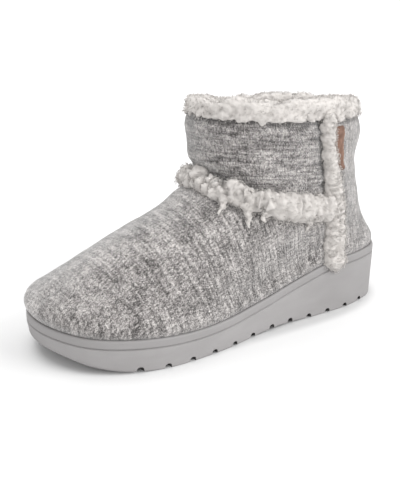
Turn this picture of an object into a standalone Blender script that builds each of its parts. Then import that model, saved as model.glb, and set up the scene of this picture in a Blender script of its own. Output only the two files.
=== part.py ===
"""Ankle bootie slipper for the left foot: a knitted upper with a fleece collar, an ankle band and two side
strips, on a moulded one-piece sole.

Units are metres. +X points to the toe, +Y to the wearer's left, which is the outer side, and +Z up.
The origin is on the floor, under the middle of the shoe's box.
"""

import math

import bmesh
import bpy
import numpy as np

# Sole
SOLE_LENGTH = 0.265
BALL_WIDTH = 0.108
HEEL_RIM_HEIGHT = 0.0385
BALL_RIM_HEIGHT = 0.0195
TOE_RIM_HEIGHT = 0.0242
TOE_SPRING = 0.0068
ARCH_RISE = 0.0015
HEEL_RISE = 0.0030
EDGE_ROUND = 0.0018
TOE_EDGE_ROUND = 0.0060
TOE_UNDERCUT = 0.0100
SIDE_DRAFT = 0.0010
RIM_BAND = 0.0056
RIM_GROOVE = 0.0012
RIM_ROUND = 0.0012
RIM_WIDTH = 0.0024
FOOTBED_DEPTH = 0.0060
TREAD_CHANNELS = 12
TREAD_PITCH = 0.0174
TREAD_CHANNEL_WIDTH = 0.0046
TREAD_CHANNEL_DEPTH = 0.0032
TREAD_CHANNEL_ROUNDNESS = 0.6
TREAD_FIRST_SETBACK = 0.0420

# Upper
COLLAR_HEIGHT = 0.1342
COLLAR_FRONT_LIFT = 0.0065
SHAFT_LENGTH = 0.1300
SHAFT_WIDTH = 0.0880
SHAFT_SETBACK = 0.0220
UPPER_WALL = 0.0025

# Fleece trims and insole
FLEECE_COLLAR_HEIGHT = 0.0125
FLEECE_COLLAR_THICKNESS = 0.0150
FLEECE_COLLAR_OVERHANG = 0.0016
BAND_FRONT_HEIGHT = 0.0972
BAND_SIDE_HEIGHT = 0.0782
BAND_WIDTH = 0.0165
BAND_THICKNESS = 0.0090
STRIP_WIDTH = 0.0125
STRIP_THICKNESS = 0.0070
STRIP_OVERLAP = 0.0070
CURL_PITCH = 0.0110
CURL_DEPTH = 0.16
CURL_ROUNDNESS = 0.6
ROLL_ROUNDNESS = 0.75
LOCK_RADIUS = 0.0033
INSOLE_THICKNESS = 0.0055
BADGE_WIDTH = 0.0120
BADGE_HEIGHT = 0.0300
BADGE_THICKNESS = 0.0012
BADGE_DROP = 0.0020
PIECE_GAP = 0.0003
TRIM_SINK = 0.0008

# Facets round a full outline, a fleece tube and a tread channel, and steps along the trims
RING_POINTS = 60
TUBE_POINTS = 10
CHANNEL_STEPS = 6
STRIP_STEPS = 32
BAND_STEPS = 73
LOCK_STEPS = 5
BADGE_COLUMNS = 4
BADGE_ROWS = 5

# The last's outline from above. along runs from the heel, 0, to the toe, 1. swing, the centreline's shift to
# the outer side, and half, the half width, are shares of the ball width.
OUTLINE = (
    # along, swing, half
    (0.045, 0.000, 0.248),
    (0.100, 0.000, 0.322),
    (0.180, 0.004, 0.366),
    (0.280, 0.008, 0.374),
    (0.380, 0.016, 0.374),
    (0.480, 0.024, 0.392),
    (0.580, 0.024, 0.440),
    (0.680, 0.014, 0.482),
    (0.760, 0.004, 0.496),
    (0.840, -0.010, 0.476),
    (0.910, -0.024, 0.414),
    (0.960, -0.040, 0.312),
)
HEEL_FULLNESS = 0.58
TOE_FULLNESS = 0.80
TOE_SWING = -0.060

# Lines along the sole: a row says how much of each named height the line has at that station.
RIM_LINE = (
    # along, heel, ball, toe
    (0.00, 1.00, 0.00, 0.00),
    (0.20, 1.00, 0.00, 0.00),
    (0.38, 0.52, 0.48, 0.00),
    (0.52, 0.14, 0.86, 0.00),
    (0.68, 0.00, 1.00, 0.00),
    (0.88, 0.00, 0.50, 0.50),
    (1.00, 0.00, 0.00, 1.00),
)
FLOOR_LINE = (
    # along, heel rise, arch rise, toe spring
    (0.00, 1.00, 0.00, 0.00),
    (0.03, 0.25, 0.00, 0.00),
    (0.06, 0.00, 0.00, 0.00),
    (0.30, 0.00, 0.00, 0.00),
    (0.42, 0.00, 1.00, 0.00),
    (0.54, 0.00, 0.00, 0.00),
    (0.76, 0.00, 0.00, 0.00),
    (0.86, 0.00, 0.00, 0.16),
    (0.94, 0.00, 0.00, 0.55),
    (1.00, 0.00, 0.00, 1.00),
)

# The upper's levels from its feather edge, 0, to the collar, 1. front and back say how far the toe end and
# the heel end have moved from the last's outline to the shaft's oval; front_side and back_side say it of the
# width.
UPPER_LEVELS = (
    # level, front, back, front_side, back_side
    (0.00, 0.000, 0.00, 0.00, 0.00),
    (0.06, 0.000, 0.00, 0.00, 0.00),
    (0.10, -0.020, 0.02, 0.00, -0.02),
    (0.14, -0.002, 0.09, 0.01, -0.01),
    (0.19, 0.075, 0.27, 0.04, 0.04),
    (0.24, 0.177, 0.45, 0.09, 0.11),
    (0.30, 0.294, 0.63, 0.17, 0.22),
    (0.36, 0.420, 0.78, 0.28, 0.36),
    (0.43, 0.610, 0.92, 0.42, 0.53),
    (0.50, 0.795, 1.03, 0.58, 0.70),
    (0.57, 0.930, 1.10, 0.74, 0.85),
    (0.64, 1.022, 1.12, 0.88, 0.95),
    (0.70, 1.050, 1.11, 0.97, 1.01),
    (0.76, 1.022, 1.08, 1.01, 1.03),
    (0.84, 1.004, 1.04, 1.02, 1.03),
    (0.92, 0.997, 1.01, 1.01, 1.01),
    (1.00, 1.000, 1.00, 1.00, 1.00),
)

# The side seams under the fleece strips: level 0 is the rim and 1 the collar, along runs from heel to toe.
STRIP_LINE = (
    # level, along
    (0.00, 0.236),
    (0.35, 0.250),
    (0.70, 0.282),
    (1.00, 0.300),
)

# Rise and fall of the fleece collar's top, as shares of its height. turn runs from the toe, 0, round the
# outer side to the heel, 0.5, and back round the inner side.
COLLAR_ROLL = (
    # turn, rise
    (0.00, -0.06),
    (0.05, -0.26),
    (0.10, -0.02),
    (0.16, -0.12),
    (0.23, 0.00),
    (0.30, 0.02),
    (0.36, -0.04),
    (0.43, -0.14),
    (0.50, -0.30),
    (0.58, -0.32),
    (0.66, -0.24),
    (0.71, -0.36),
    (0.76, -0.58),
    (0.82, -0.50),
    (0.90, -0.26),
    (0.96, -0.14),
    (1.00, -0.06),
)

# Loose locks that hang below the ankle band: turn is the place round the shoe, length is in band widths, and
# lean is how far round the shoe the tip has moved.
LOCKS = (
    # turn, length, lean
    (0.088, 0.25, 0.014),
    (0.127, 0.58, 0.043),
    (0.160, 0.22, 0.022),
    (0.254, 0.42, 0.016),
    (0.845, 0.60, -0.035),
)

KNIT_GREY = (0.40, 0.39, 0.39)
SOLE_GREY = (0.42, 0.41, 0.41)
FLEECE_CREAM = (0.76, 0.73, 0.71)
TAN_LEATHER = (0.36, 0.17, 0.09)


def column(table, key, value, place):
    """One column of a table at a value of its key column, on a monotone cubic that never overshoots a row."""
    x = np.array([row[key] for row in table], float)
    y = np.array([row[place] for row in table], float)
    step = np.diff(x)
    slope = np.diff(y) / step
    tangent = np.zeros(len(x))
    same = slope[:-1] * slope[1:] > 0
    weight_a = 2 * step[1:] + step[:-1]
    weight_b = step[1:] + 2 * step[:-1]
    first = np.where(same, slope[:-1], 1.0)
    second = np.where(same, slope[1:], 1.0)
    mean = (weight_a + weight_b) / (weight_a / first + weight_b / second)
    tangent[1:-1] = np.where(same, mean, 0.0)
    tangent[0] = slope[0]
    tangent[-1] = slope[-1]
    value = np.clip(np.asarray(value, float), x[0], x[-1])
    i = np.clip(np.searchsorted(x, value, side="right") - 1, 0, len(x) - 2)
    t = (value - x[i]) / step[i]
    return (
        y[i] * (1 + 2 * t) * (1 - t) ** 2
        + tangent[i] * step[i] * t * (1 - t) ** 2
        + y[i + 1] * t * t * (3 - 2 * t)
        + tangent[i + 1] * step[i] * t * t * (t - 1)
    )


def mix(a, b, share):
    return a + (b - a) * share


def rim_height(along):
    """Height of the sole's rim over the floor."""
    return (
        HEEL_RIM_HEIGHT * column(RIM_LINE, 0, along, 1)
        + BALL_RIM_HEIGHT * column(RIM_LINE, 0, along, 2)
        + TOE_RIM_HEIGHT * column(RIM_LINE, 0, along, 3)
    )


def floor_height(along):
    """Height of the tread over the floor: none under the heel and the ball."""
    return (
        HEEL_RISE * column(FLOOR_LINE, 0, along, 1)
        + ARCH_RISE * column(FLOOR_LINE, 0, along, 2)
        + TOE_SPRING * column(FLOOR_LINE, 0, along, 3)
    )


def lower_edge(along):
    """How far in and how far up the sole's lower edge is rounded: most at the toe."""
    toe = np.clip((along - 0.80) / 0.18, 0, 1) ** 2.5
    return mix(EDGE_ROUND, TOE_UNDERCUT, toe), mix(EDGE_ROUND, TOE_EDGE_ROUND, toe)


def outline_width_rows():
    """The outline's rows over the angle round the last, with the half width as a share of an ellipse's."""
    rows = [(0.0, TOE_SWING, TOE_FULLNESS)]
    for along, swing, half in reversed(OUTLINE):
        angle = math.acos(2 * along - 1)
        rows.append((angle, swing, half / math.sin(angle)))
    rows.append((math.pi, 0.0, HEEL_FULLNESS))
    return rows


def last_outline(angle, inset=0.0):
    """The sole's outline in plan, moved inwards. The angle runs from the toe, 0, round the outer side."""
    rows = outline_width_rows()

    def place(a):
        folded = np.abs((a + math.pi) % (2 * math.pi) - math.pi)
        half = column(rows, 0, folded, 2) * np.sin(a)
        return SOLE_LENGTH / 2 * np.cos(a), BALL_WIDTH * (column(rows, 0, folded, 1) + half)

    angle = np.asarray(angle, float)
    x, y = place(angle)
    turn = 1e-3
    ahead, behind = place(angle + turn), place(angle - turn)
    dx, dy = ahead[0] - behind[0], ahead[1] - behind[1]
    length = np.hypot(dx, dy)
    return x - inset * dy / length, y + inset * dx / length


def outline_shape(x):
    """The centreline's shift and the outline's fullness at a place along the shoe."""
    rows = outline_width_rows()
    angle = np.arccos(np.clip(2 * x / SOLE_LENGTH, -1, 1))
    return BALL_WIDTH * column(rows, 0, angle, 1), column(rows, 0, angle, 2)


def station(angle):
    """Share of the length, from the heel, at an angle round the last."""
    return (1 + np.cos(angle)) / 2


def shaft_oval(angle):
    centre = -SOLE_LENGTH / 2 + SHAFT_SETBACK + SHAFT_LENGTH / 2
    return centre + SHAFT_LENGTH / 2 * np.cos(angle), SHAFT_WIDTH / 2 * np.sin(angle)


def feather_height(angle):
    """Where the upper's lower edge stands on the footbed."""
    return rim_height(station(angle)) - FOOTBED_DEPTH + PIECE_GAP


def collar_line(angle):
    return COLLAR_HEIGHT + COLLAR_FRONT_LIFT * station(angle)


def upper_point(angle, level):
    """A point of the upper's outer face. Each level's width follows the outline's at the same place along the
    shoe, so that the waist carries on up the sides and the toe's breadth stays at the toe."""
    angle, level = np.broadcast_arrays(np.asarray(angle, float), np.asarray(level, float))
    bx, by = last_outline(angle, RIM_WIDTH + PIECE_GAP)
    sx, sy = shaft_oval(angle)
    ahead = station(angle)
    along_share = mix(column(UPPER_LEVELS, 0, level, 2), column(UPPER_LEVELS, 0, level, 1), ahead)
    side_share = mix(column(UPPER_LEVELS, 0, level, 4), column(UPPER_LEVELS, 0, level, 3), ahead)
    x = mix(bx, sx, along_share)
    base_swing, base_fullness = outline_shape(bx)
    swing, fullness = outline_shape(x)
    side = swing + (by - base_swing) * fullness / base_fullness
    height = mix(feather_height(angle), collar_line(angle), level)
    return np.stack([x, mix(side, sy, side_share), height], axis=-1)


def upper_normal(angle, level):
    """The outer face's normal, pointing out of the shoe."""
    step = 1e-3
    level = np.clip(level, step, 1 - step)
    round_it = upper_point(angle + step, level) - upper_point(angle - step, level)
    up_it = upper_point(angle, level + step) - upper_point(angle, level - step)
    normal = np.cross(round_it, up_it)
    return normal / np.linalg.norm(normal, axis=-1, keepdims=True)


def level_at(angle, height):
    low = feather_height(angle)
    return (height - low) / (collar_line(angle) - low)


def seam_angles(side, along, height):
    """Angles at which the outer face has those stations at those heights, on the side given as 1 for outer or
    -1 for inner."""
    target = (np.asarray(along, float) - 0.5) * SOLE_LENGTH
    low = np.zeros_like(target)
    high = np.full_like(target, math.pi)
    for _ in range(24):
        middle = side * (low + high) / 2
        ahead = upper_point(middle, level_at(middle, height))[..., 0] > target
        low = np.where(ahead, np.abs(middle), low)
        high = np.where(ahead, high, np.abs(middle))
    return side * (low + high) / 2


def add_object(name, mesh, material):
    obj = bpy.data.objects.new(name, mesh)
    bpy.context.scene.collection.objects.link(obj)
    if material is not None:
        mesh.materials.append(material)
    return obj


def add_material(name, colour, roughness):
    material = bpy.data.materials.new(name)
    material.use_nodes = True
    shader = material.node_tree.nodes["Principled BSDF"]
    shader.inputs["Base Color"].default_value = (*colour, 1.0)
    shader.inputs["Roughness"].default_value = roughness
    shader.inputs["Metallic"].default_value = 0.0
    return material


def mesh_from(name, points, faces):
    """A smooth-shaded mesh with its faces turned outwards."""
    mesh = bpy.data.meshes.new(name)
    mesh.from_pydata([tuple(map(float, p)) for p in points], [], faces)
    shape = bmesh.new()
    shape.from_mesh(mesh)
    bmesh.ops.recalc_face_normals(shape, faces=shape.faces)
    shape.to_mesh(mesh)
    shape.free()
    mesh.shade_smooth()
    mesh.set_sharp_from_angle(angle=math.radians(40))
    return mesh


def ring_stack(name, rings, closed=False, flat_ends=False):
    """A mesh through rings of equal length, in triangles that split alike, so that a form and its cutter have
    matching facets. closed joins the last ring to the first; flat_ends closes each end with strips across the
    ring, from its outer to its inner side, and otherwise each end is one face."""
    count = len(rings[0])
    points = np.concatenate(rings)
    faces = []
    stops = len(rings) if closed else len(rings) - 1
    for r in range(stops):
        a, b = r * count, (r + 1) % len(rings) * count
        for i in range(count):
            j = (i + 1) % count
            faces += [(a + i, a + j, b + j), (a + i, b + j, b + i)]
    if not closed:
        for start in (0, (len(rings) - 1) * count):
            if flat_ends:
                faces += strips_across(start, count)
            else:
                faces.append(tuple(range(start, start + count)))
    return mesh_from(name, points, faces)


def strips_across(start, count):
    """Faces that join each point of a ring to the point opposite it across the shoe."""
    faces = [(start, start + 1, start + count - 1)]
    for i in range(1, count // 2 - 1):
        faces.append((start + i, start + i + 1, start + count - i - 1, start + count - i))
    half = count // 2
    faces.append((start + half - 1, start + half, start + half + 1))
    return faces


def ring_angles(count=RING_POINTS):
    return np.linspace(0, 2 * math.pi, count, endpoint=False)


def sole_ring(inset, height):
    angle = ring_angles()
    x, y = last_outline(angle, inset)
    return np.stack([x, y, np.broadcast_to(height, x.shape)], axis=-1)


def sole_form(name, grow=0.0):
    """The moulded sole without its channels. grow swells its side and rim, as a cutter needs, and takes the
    rim's inner wall right through the gap beside the upper, and has no groove."""
    ahead = station(ring_angles())
    floor = floor_height(ahead)
    rim = rim_height(ahead) + grow
    undercut, edge = lower_edge(ahead)
    band = rim_height(ahead) - RIM_BAND
    groove = 0.0 if grow else RIM_GROOVE
    footbed = rim_height(ahead) - FOOTBED_DEPTH
    inner = RIM_WIDTH + 4 * grow
    rings = [
        sole_ring(undercut - grow, floor),
        sole_ring(undercut * 0.45 - grow, floor + edge * 0.30),
        sole_ring(undercut * 0.10 + SIDE_DRAFT - grow, floor + edge * 0.95),
        sole_ring(SIDE_DRAFT * 0.5 - grow, mix(floor + edge, band, 0.55)),
        sole_ring(0.0002 - grow, band - RIM_GROOVE * 0.7),
        sole_ring(groove - grow, band),
        sole_ring(-grow, band + RIM_GROOVE * 0.7),
        sole_ring(-grow, rim - RIM_ROUND),
        sole_ring(RIM_ROUND * 0.3 - grow, rim - RIM_ROUND * 0.3),
        sole_ring(RIM_ROUND - grow, rim),
        sole_ring(inner - RIM_ROUND * 0.4, rim),
        sole_ring(inner, rim - RIM_ROUND * 0.4),
        sole_ring(inner, footbed),
    ]
    return ring_stack(name, rings, flat_ends=True)


def channel_cutters():
    """Half-round bars across the tread, one for each channel."""
    shape = bmesh.new()
    for k in range(TREAD_CHANNELS):
        x = SOLE_LENGTH / 2 - TREAD_FIRST_SETBACK - k * TREAD_PITCH
        base = float(floor_height(x / SOLE_LENGTH + 0.5))
        profile = [(x + TREAD_CHANNEL_WIDTH / 2, base - TREAD_CHANNEL_DEPTH)]
        for turn in np.linspace(0, math.pi, CHANNEL_STEPS + 1):
            profile.append(
                (
                    x + TREAD_CHANNEL_WIDTH / 2 * math.cos(turn),
                    base + TREAD_CHANNEL_DEPTH * math.sin(turn) ** TREAD_CHANNEL_ROUNDNESS,
                )
            )
        profile.append((x - TREAD_CHANNEL_WIDTH / 2, base - TREAD_CHANNEL_DEPTH))
        ends = []
        for y in (-BALL_WIDTH, BALL_WIDTH):
            ends.append([shape.verts.new((px, y, pz)) for px, pz in profile])
        shape.faces.new(ends[0])
        shape.faces.new(ends[1][::-1])
        for i in range(len(profile)):
            j = (i + 1) % len(profile)
            shape.faces.new((ends[0][i], ends[1][i], ends[1][j], ends[0][j]))
    bmesh.ops.recalc_face_normals(shape, faces=shape.faces)
    mesh = bpy.data.meshes.new("tread_channels")
    shape.to_mesh(mesh)
    shape.free()
    return mesh


def as_cutter(obj):
    obj.hide_render = True
    obj.display_type = "WIRE"
    return obj


def boolean(obj, operation, other, solver="EXACT"):
    modifier = obj.modifiers.new(f"{operation.lower()}_{other.name}", "BOOLEAN")
    modifier.operation = operation
    modifier.solver = solver
    modifier.object = other
    return obj


def trim(obj, cutters):
    """Cuts a trim back from what it lies on. The cutters run close beside each other, where the exact solver
    can lose a whole piece."""
    for cutter in cutters:
        boolean(obj, "DIFFERENCE", cutter, "MANIFOLD")
    return obj


def make_sole(material):
    sole = add_object("sole", sole_form("sole"), material)
    channels = as_cutter(add_object("tread_channels", channel_cutters(), None))
    return boolean(sole, "DIFFERENCE", channels)


def upper_rings(offset):
    """Rings of the upper's outer face moved along its normal. The top and bottom edges stay at their height."""
    angle = ring_angles()
    rings = []
    for row in UPPER_LEVELS:
        normal = upper_normal(angle, row[0])
        if row[0] in (0.0, 1.0):
            normal = normal * (1, 1, 0)
            normal /= np.linalg.norm(normal, axis=-1, keepdims=True)
        rings.append(upper_point(angle, row[0]) + offset * normal)
    return rings


def make_upper(material):
    """One hollow wall, open at the collar and underneath."""
    rings = upper_rings(0.0) + upper_rings(-UPPER_WALL)[::-1]
    return add_object("upper", ring_stack("upper", rings, closed=True), material)


def upper_clearance():
    """The upper's outer face grown by the gap and closed, which cuts what lies on it."""
    rings = upper_rings(PIECE_GAP)
    above = rings[-1] + (0, 0, FLEECE_COLLAR_HEIGHT * 2)
    form = ring_stack("upper_clearance", [*rings, above], flat_ends=True)
    return as_cutter(add_object("upper_clearance", form, None))


def make_insole(material):
    """The soft footbed that fills the upper's lower edge."""
    angle = ring_angles()
    ahead = station(angle)
    base = rim_height(ahead) - FOOTBED_DEPTH + PIECE_GAP
    inset = RIM_WIDTH + UPPER_WALL + 4 * PIECE_GAP
    round_edge = INSOLE_THICKNESS * 0.3
    rings = []
    for more, height in (
        (0.0, 0.0),
        (0.0, INSOLE_THICKNESS - round_edge),
        (round_edge, INSOLE_THICKNESS),
    ):
        x, y = last_outline(angle, inset + more)
        rings.append(np.stack([x, y, base + height], axis=-1))
    return add_object("insole", ring_stack("insole", rings, flat_ends=True), material)


def curl(place, pitch=CURL_PITCH):
    """Swell of a fleece tube at a place along it: one rounded curl for each pitch."""
    return 1 - CURL_DEPTH + CURL_DEPTH * np.abs(np.sin(math.pi * place / pitch)) ** CURL_ROUNDNESS


def fleece_tube(name, path, normals, widths, heights, depth, grow=0.0):
    """A tube on the upper along a path: widths run along the skin, heights out from it, and depth into it.
    Its widest line lies a little under the skin, so that the two cross steeply."""
    path = np.asarray(path)
    tangents = np.gradient(path, axis=0)
    tangents /= np.linalg.norm(tangents, axis=1, keepdims=True)
    sides = np.cross(tangents, normals)
    sides /= np.linalg.norm(sides, axis=1, keepdims=True)
    turns = np.linspace(0, 2 * math.pi, TUBE_POINTS, endpoint=False)
    rings = []
    for i in range(len(path)):
        across = np.cos(turns) * (widths[i] / 2 + grow)
        reach = np.where(np.sin(turns) > 0, heights[i] + grow + TRIM_SINK, depth - TRIM_SINK)
        out = np.sin(turns) * reach - TRIM_SINK
        rings.append(path[i] + across[:, None] * sides[i] + out[:, None] * normals[i])
    return ring_stack(name, rings)


def end_taper(share, ends=(1, 1)):
    """Rounds a tube's ends: 1 along its middle, less at the ends named with a 1."""
    start = np.clip(share / 0.06, 0, 1) if ends[0] else 1.0
    stop = np.clip((1 - share) / 0.06, 0, 1) if ends[1] else 1.0
    return np.sqrt(np.clip(1 - (1 - np.minimum(start, stop)) ** 2, 0.12, 1))


def strip_path(side):
    """Points and normals down one side seam, from the collar to below the sole's rim, where the strip stands
    off the upper so that it hangs over the rim."""
    rim = float(rim_height(STRIP_LINE[0][1]))
    height = np.linspace(COLLAR_HEIGHT, rim - STRIP_OVERLAP, STRIP_STEPS)
    along = column(STRIP_LINE, 0, (height - rim) / (COLLAR_HEIGHT - rim), 1)
    on_skin = np.maximum(height, rim - FOOTBED_DEPTH / 2)
    angle = seam_angles(side, along, on_skin)
    level = level_at(angle, on_skin)
    points, normals = upper_point(angle, level), upper_normal(angle, level)
    points[:, 2] = height
    flare = np.clip((rim + STRIP_OVERLAP - height) / STRIP_OVERLAP, 0, 1)
    outwards = normals[-1] * (1, 1, 0)
    return points + outwards * (RIM_WIDTH * 0.6 * flare * flare * (3 - 2 * flare))[:, None], normals


def strip_form(name, side, grow=0.0):
    points, normals = strip_path(side)
    points = points + (0, 0, grow) * np.linspace(1, -1, len(points))[:, None]
    travel = np.r_[0, np.cumsum(np.linalg.norm(np.diff(points, axis=0), axis=1))]
    swell = curl(travel, CURL_PITCH * 0.8) * end_taper(travel / travel[-1], (0, 1))
    return fleece_tube(
        name, points, normals, STRIP_WIDTH * swell, STRIP_THICKNESS * swell, RIM_WIDTH / 2, grow
    )


def make_strip(name, side, cutters, material):
    return trim(add_object(name, strip_form(name, side), material), cutters)


def band_height(turn, reach):
    """Height of the ankle band's middle: level over the instep at turn 0, then down to the seams at reach."""
    share = np.clip(np.abs(turn) / reach, 0, 1)
    return mix(BAND_FRONT_HEIGHT, BAND_SIDE_HEIGHT, share * share * (3 - 2 * share))


def band_reach(side):
    """Angle at which the band's middle meets the side strip."""
    rim = float(rim_height(STRIP_LINE[1][1]))
    share = (BAND_SIDE_HEIGHT - rim) / (COLLAR_HEIGHT - rim)
    return float(seam_angles(side, column(STRIP_LINE, 0, share, 1), BAND_SIDE_HEIGHT))


def make_band(cutters, material):
    """The fleece band round the instep, from one side strip to the other, with its loose locks."""
    outer, inner = band_reach(1), band_reach(-1)
    angle = np.linspace(outer, inner, BAND_STEPS)
    reach = np.where(angle > 0, abs(outer), abs(inner))
    level = level_at(angle, band_height(angle, reach))
    points = upper_point(angle, level)
    normals = upper_normal(angle, level)
    travel = np.r_[0, np.cumsum(np.linalg.norm(np.diff(points, axis=0), axis=1))]
    swell = curl(travel)
    form = fleece_tube(
        "ankle_band", points, normals, BAND_WIDTH * swell, BAND_THICKNESS * swell, UPPER_WALL
    )
    band = add_object("ankle_band", form, material)
    for number, row in enumerate(LOCKS, 1):
        boolean(band, "UNION", make_lock(f"lock_{number}", *row, outer, inner), "MANIFOLD")
    return trim(band, cutters)


def make_lock(name, turn, length, lean, outer, inner):
    """One loose lock, tapering down the skin from the middle of the band."""
    angle = turn * 2 * math.pi
    if angle > math.pi:
        angle -= 2 * math.pi
    reach = abs(outer) if angle > 0 else abs(inner)
    top = float(band_height(angle, reach)) - BAND_WIDTH * 0.2
    drop = BAND_WIDTH * (0.3 + length)
    points, normals = [], []
    for share in np.linspace(0, 1, LOCK_STEPS):
        place = angle + lean * share * 2 * math.pi
        level = float(level_at(place, top - drop * share))
        normal = upper_normal(place, level)
        points.append(upper_point(place, level) + normal * LOCK_RADIUS * 0.9)
        normals.append(normal)
    size = LOCK_RADIUS * 2 * np.linspace(1.2, 0.5, LOCK_STEPS)
    form = fleece_tube(name, points, np.array(normals), size, size / 2, LOCK_RADIUS * 1.4)
    return as_cutter(add_object(name, form, None))


def collar_rings(grow=0.0):
    """Sections of the fleece collar, a soft roll that stands on the upper's top edge."""
    angle = ring_angles()
    turn = angle / (2 * math.pi)
    sx, sy = shaft_oval(angle)
    normal = upper_normal(angle, 1.0) * (1, 1, 0)
    normal /= np.linalg.norm(normal, axis=-1, keepdims=True)
    base = collar_line(angle) + PIECE_GAP - grow
    height = FLEECE_COLLAR_HEIGHT * (1 + column(COLLAR_ROLL, 0, turn, 1)) + 2 * grow
    middle = FLEECE_COLLAR_OVERHANG - FLEECE_COLLAR_THICKNESS / 2
    girth = np.array([sx, sy]).T
    travel = np.r_[0, np.cumsum(np.linalg.norm(np.diff(girth, axis=0), axis=1))]
    whole = travel[-1] + np.linalg.norm(girth[0] - girth[-1])
    curls = max(8, round(whole / (CURL_PITCH * 1.6)))
    swell = curl(travel, whole / curls)
    turns = np.linspace(0, 2 * math.pi, TUBE_POINTS, endpoint=False) + math.pi / TUBE_POINTS
    rings = []
    for i in range(len(angle)):
        out = np.sign(np.cos(turns)) * np.abs(np.cos(turns)) ** ROLL_ROUNDNESS
        up = np.sign(np.sin(turns)) * np.abs(np.sin(turns)) ** ROLL_ROUNDNESS
        across = middle + out * (FLEECE_COLLAR_THICKNESS / 2 * swell[i] + grow)
        lift = base[i] + height[i] * (0.5 + up * 0.5 * np.where(up > 0, swell[i], 1.0))
        ring = np.array([sx[i], sy[i], 0.0]) + across[:, None] * normal[i]
        ring[:, 2] = lift
        rings.append(ring)
    return rings


def make_collar(material):
    form = ring_stack("fleece_collar", collar_rings(), closed=True)
    return add_object("fleece_collar", form, material)


def make_badge(cutters, material):
    """A blank leather badge on the heel panel, tucked against the outer side strip."""
    heights = COLLAR_HEIGHT - BADGE_DROP - np.linspace(0, BADGE_HEIGHT, BADGE_ROWS)
    seam = float(seam_angles(1, STRIP_LINE[-1][1], heights[0]))
    turn = 0.01
    girth = np.linalg.norm(upper_point(seam + turn, 1.0) - upper_point(seam - turn, 1.0)) / (2 * turn)
    angles = seam + (STRIP_WIDTH / 2 + np.linspace(0, BADGE_WIDTH, BADGE_COLUMNS)) / girth
    rings = []
    for offset in (-UPPER_WALL / 2, BADGE_THICKNESS + PIECE_GAP):
        grid = []
        for height in heights:
            level = level_at(angles, height)
            grid.append(upper_point(angles, level) + offset * upper_normal(angles, level))
        grid = np.array(grid)
        rings.append(np.concatenate([grid[0], grid[1:-1, -1], grid[-1, ::-1], grid[-2:0:-1, 0]]))
    return trim(add_object("badge", ring_stack("badge", rings), material), cutters)


def main():
    for obj in list(bpy.data.objects):
        bpy.data.objects.remove(obj, do_unlink=True)
    knit = add_material("knit", KNIT_GREY, 0.95)
    rubber = add_material("moulded_sole", SOLE_GREY, 0.55)
    fleece = add_material("fleece", FLEECE_CREAM, 1.0)
    leather = add_material("leather", TAN_LEATHER, 0.6)

    skin = upper_clearance()
    sole_cutter = as_cutter(
        add_object("sole_clearance", sole_form("sole_clearance", PIECE_GAP), None)
    )
    collar_cutter = as_cutter(
        add_object(
            "collar_clearance",
            ring_stack("collar_clearance", collar_rings(PIECE_GAP), closed=True),
            None,
        )
    )
    strip_cutters = [
        as_cutter(add_object(f"strip_clearance_{word}", strip_form("strip", side, PIECE_GAP), None))
        for word, side in (("outer", 1), ("inner", -1))
    ]

    make_sole(rubber)
    make_upper(knit)
    make_insole(fleece)
    make_collar(fleece)
    make_strip("side_strip_outer", 1, (skin, sole_cutter, collar_cutter), fleece)
    make_strip("side_strip_inner", -1, (skin, sole_cutter, collar_cutter), fleece)
    make_band((*strip_cutters, skin), fleece)
    make_badge((strip_cutters[0], skin), leather)


main()
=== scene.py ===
"""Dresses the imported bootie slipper: heathered knit over the whole upper, curly fleece on the collar, ankle
band and side strips, a piled insole, a blank leather badge and a matte moulded sole.

Units are metres. +X points to the toe, +Y to the outer side and +Z up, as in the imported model.
"""

import itertools
import math
from functools import partial, partialmethod

import bmesh
import bpy
import numpy as np
from mathutils import Matrix, Vector


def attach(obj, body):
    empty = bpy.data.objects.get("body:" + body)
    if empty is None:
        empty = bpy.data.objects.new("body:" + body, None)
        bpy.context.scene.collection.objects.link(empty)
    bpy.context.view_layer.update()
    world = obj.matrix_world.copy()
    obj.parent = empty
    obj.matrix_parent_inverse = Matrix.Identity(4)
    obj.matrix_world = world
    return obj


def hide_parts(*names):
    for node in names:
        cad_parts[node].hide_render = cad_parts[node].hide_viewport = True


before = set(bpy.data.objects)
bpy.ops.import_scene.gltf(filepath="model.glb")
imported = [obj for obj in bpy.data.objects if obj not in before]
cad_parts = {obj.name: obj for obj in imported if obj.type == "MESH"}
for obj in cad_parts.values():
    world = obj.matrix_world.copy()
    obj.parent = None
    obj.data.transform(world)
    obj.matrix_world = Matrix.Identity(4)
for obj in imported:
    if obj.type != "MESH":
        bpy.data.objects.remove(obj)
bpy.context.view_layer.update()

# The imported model's sizes and tables. Sole:
SOLE_LENGTH = 0.265
BALL_WIDTH = 0.108
HEEL_RIM_HEIGHT = 0.0385
BALL_RIM_HEIGHT = 0.0195
TOE_RIM_HEIGHT = 0.0242
TOE_SPRING = 0.0068
ARCH_RISE = 0.0015
HEEL_RISE = 0.0030
EDGE_ROUND = 0.0018
TOE_EDGE_ROUND = 0.0060
TOE_UNDERCUT = 0.0100
SIDE_DRAFT = 0.0010
RIM_BAND = 0.0056
RIM_GROOVE = 0.0012
RIM_ROUND = 0.0012
RIM_WIDTH = 0.0024
FOOTBED_DEPTH = 0.0060
TREAD_CHANNELS = 12
TREAD_PITCH = 0.0174
TREAD_CHANNEL_WIDTH = 0.0046
TREAD_CHANNEL_DEPTH = 0.0032
TREAD_CHANNEL_ROUNDNESS = 0.6
TREAD_FIRST_SETBACK = 0.0420

# Upper
COLLAR_HEIGHT = 0.1342
COLLAR_FRONT_LIFT = 0.0065
SHAFT_LENGTH = 0.1300
SHAFT_WIDTH = 0.0880
SHAFT_SETBACK = 0.0220
UPPER_WALL = 0.0025

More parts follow.
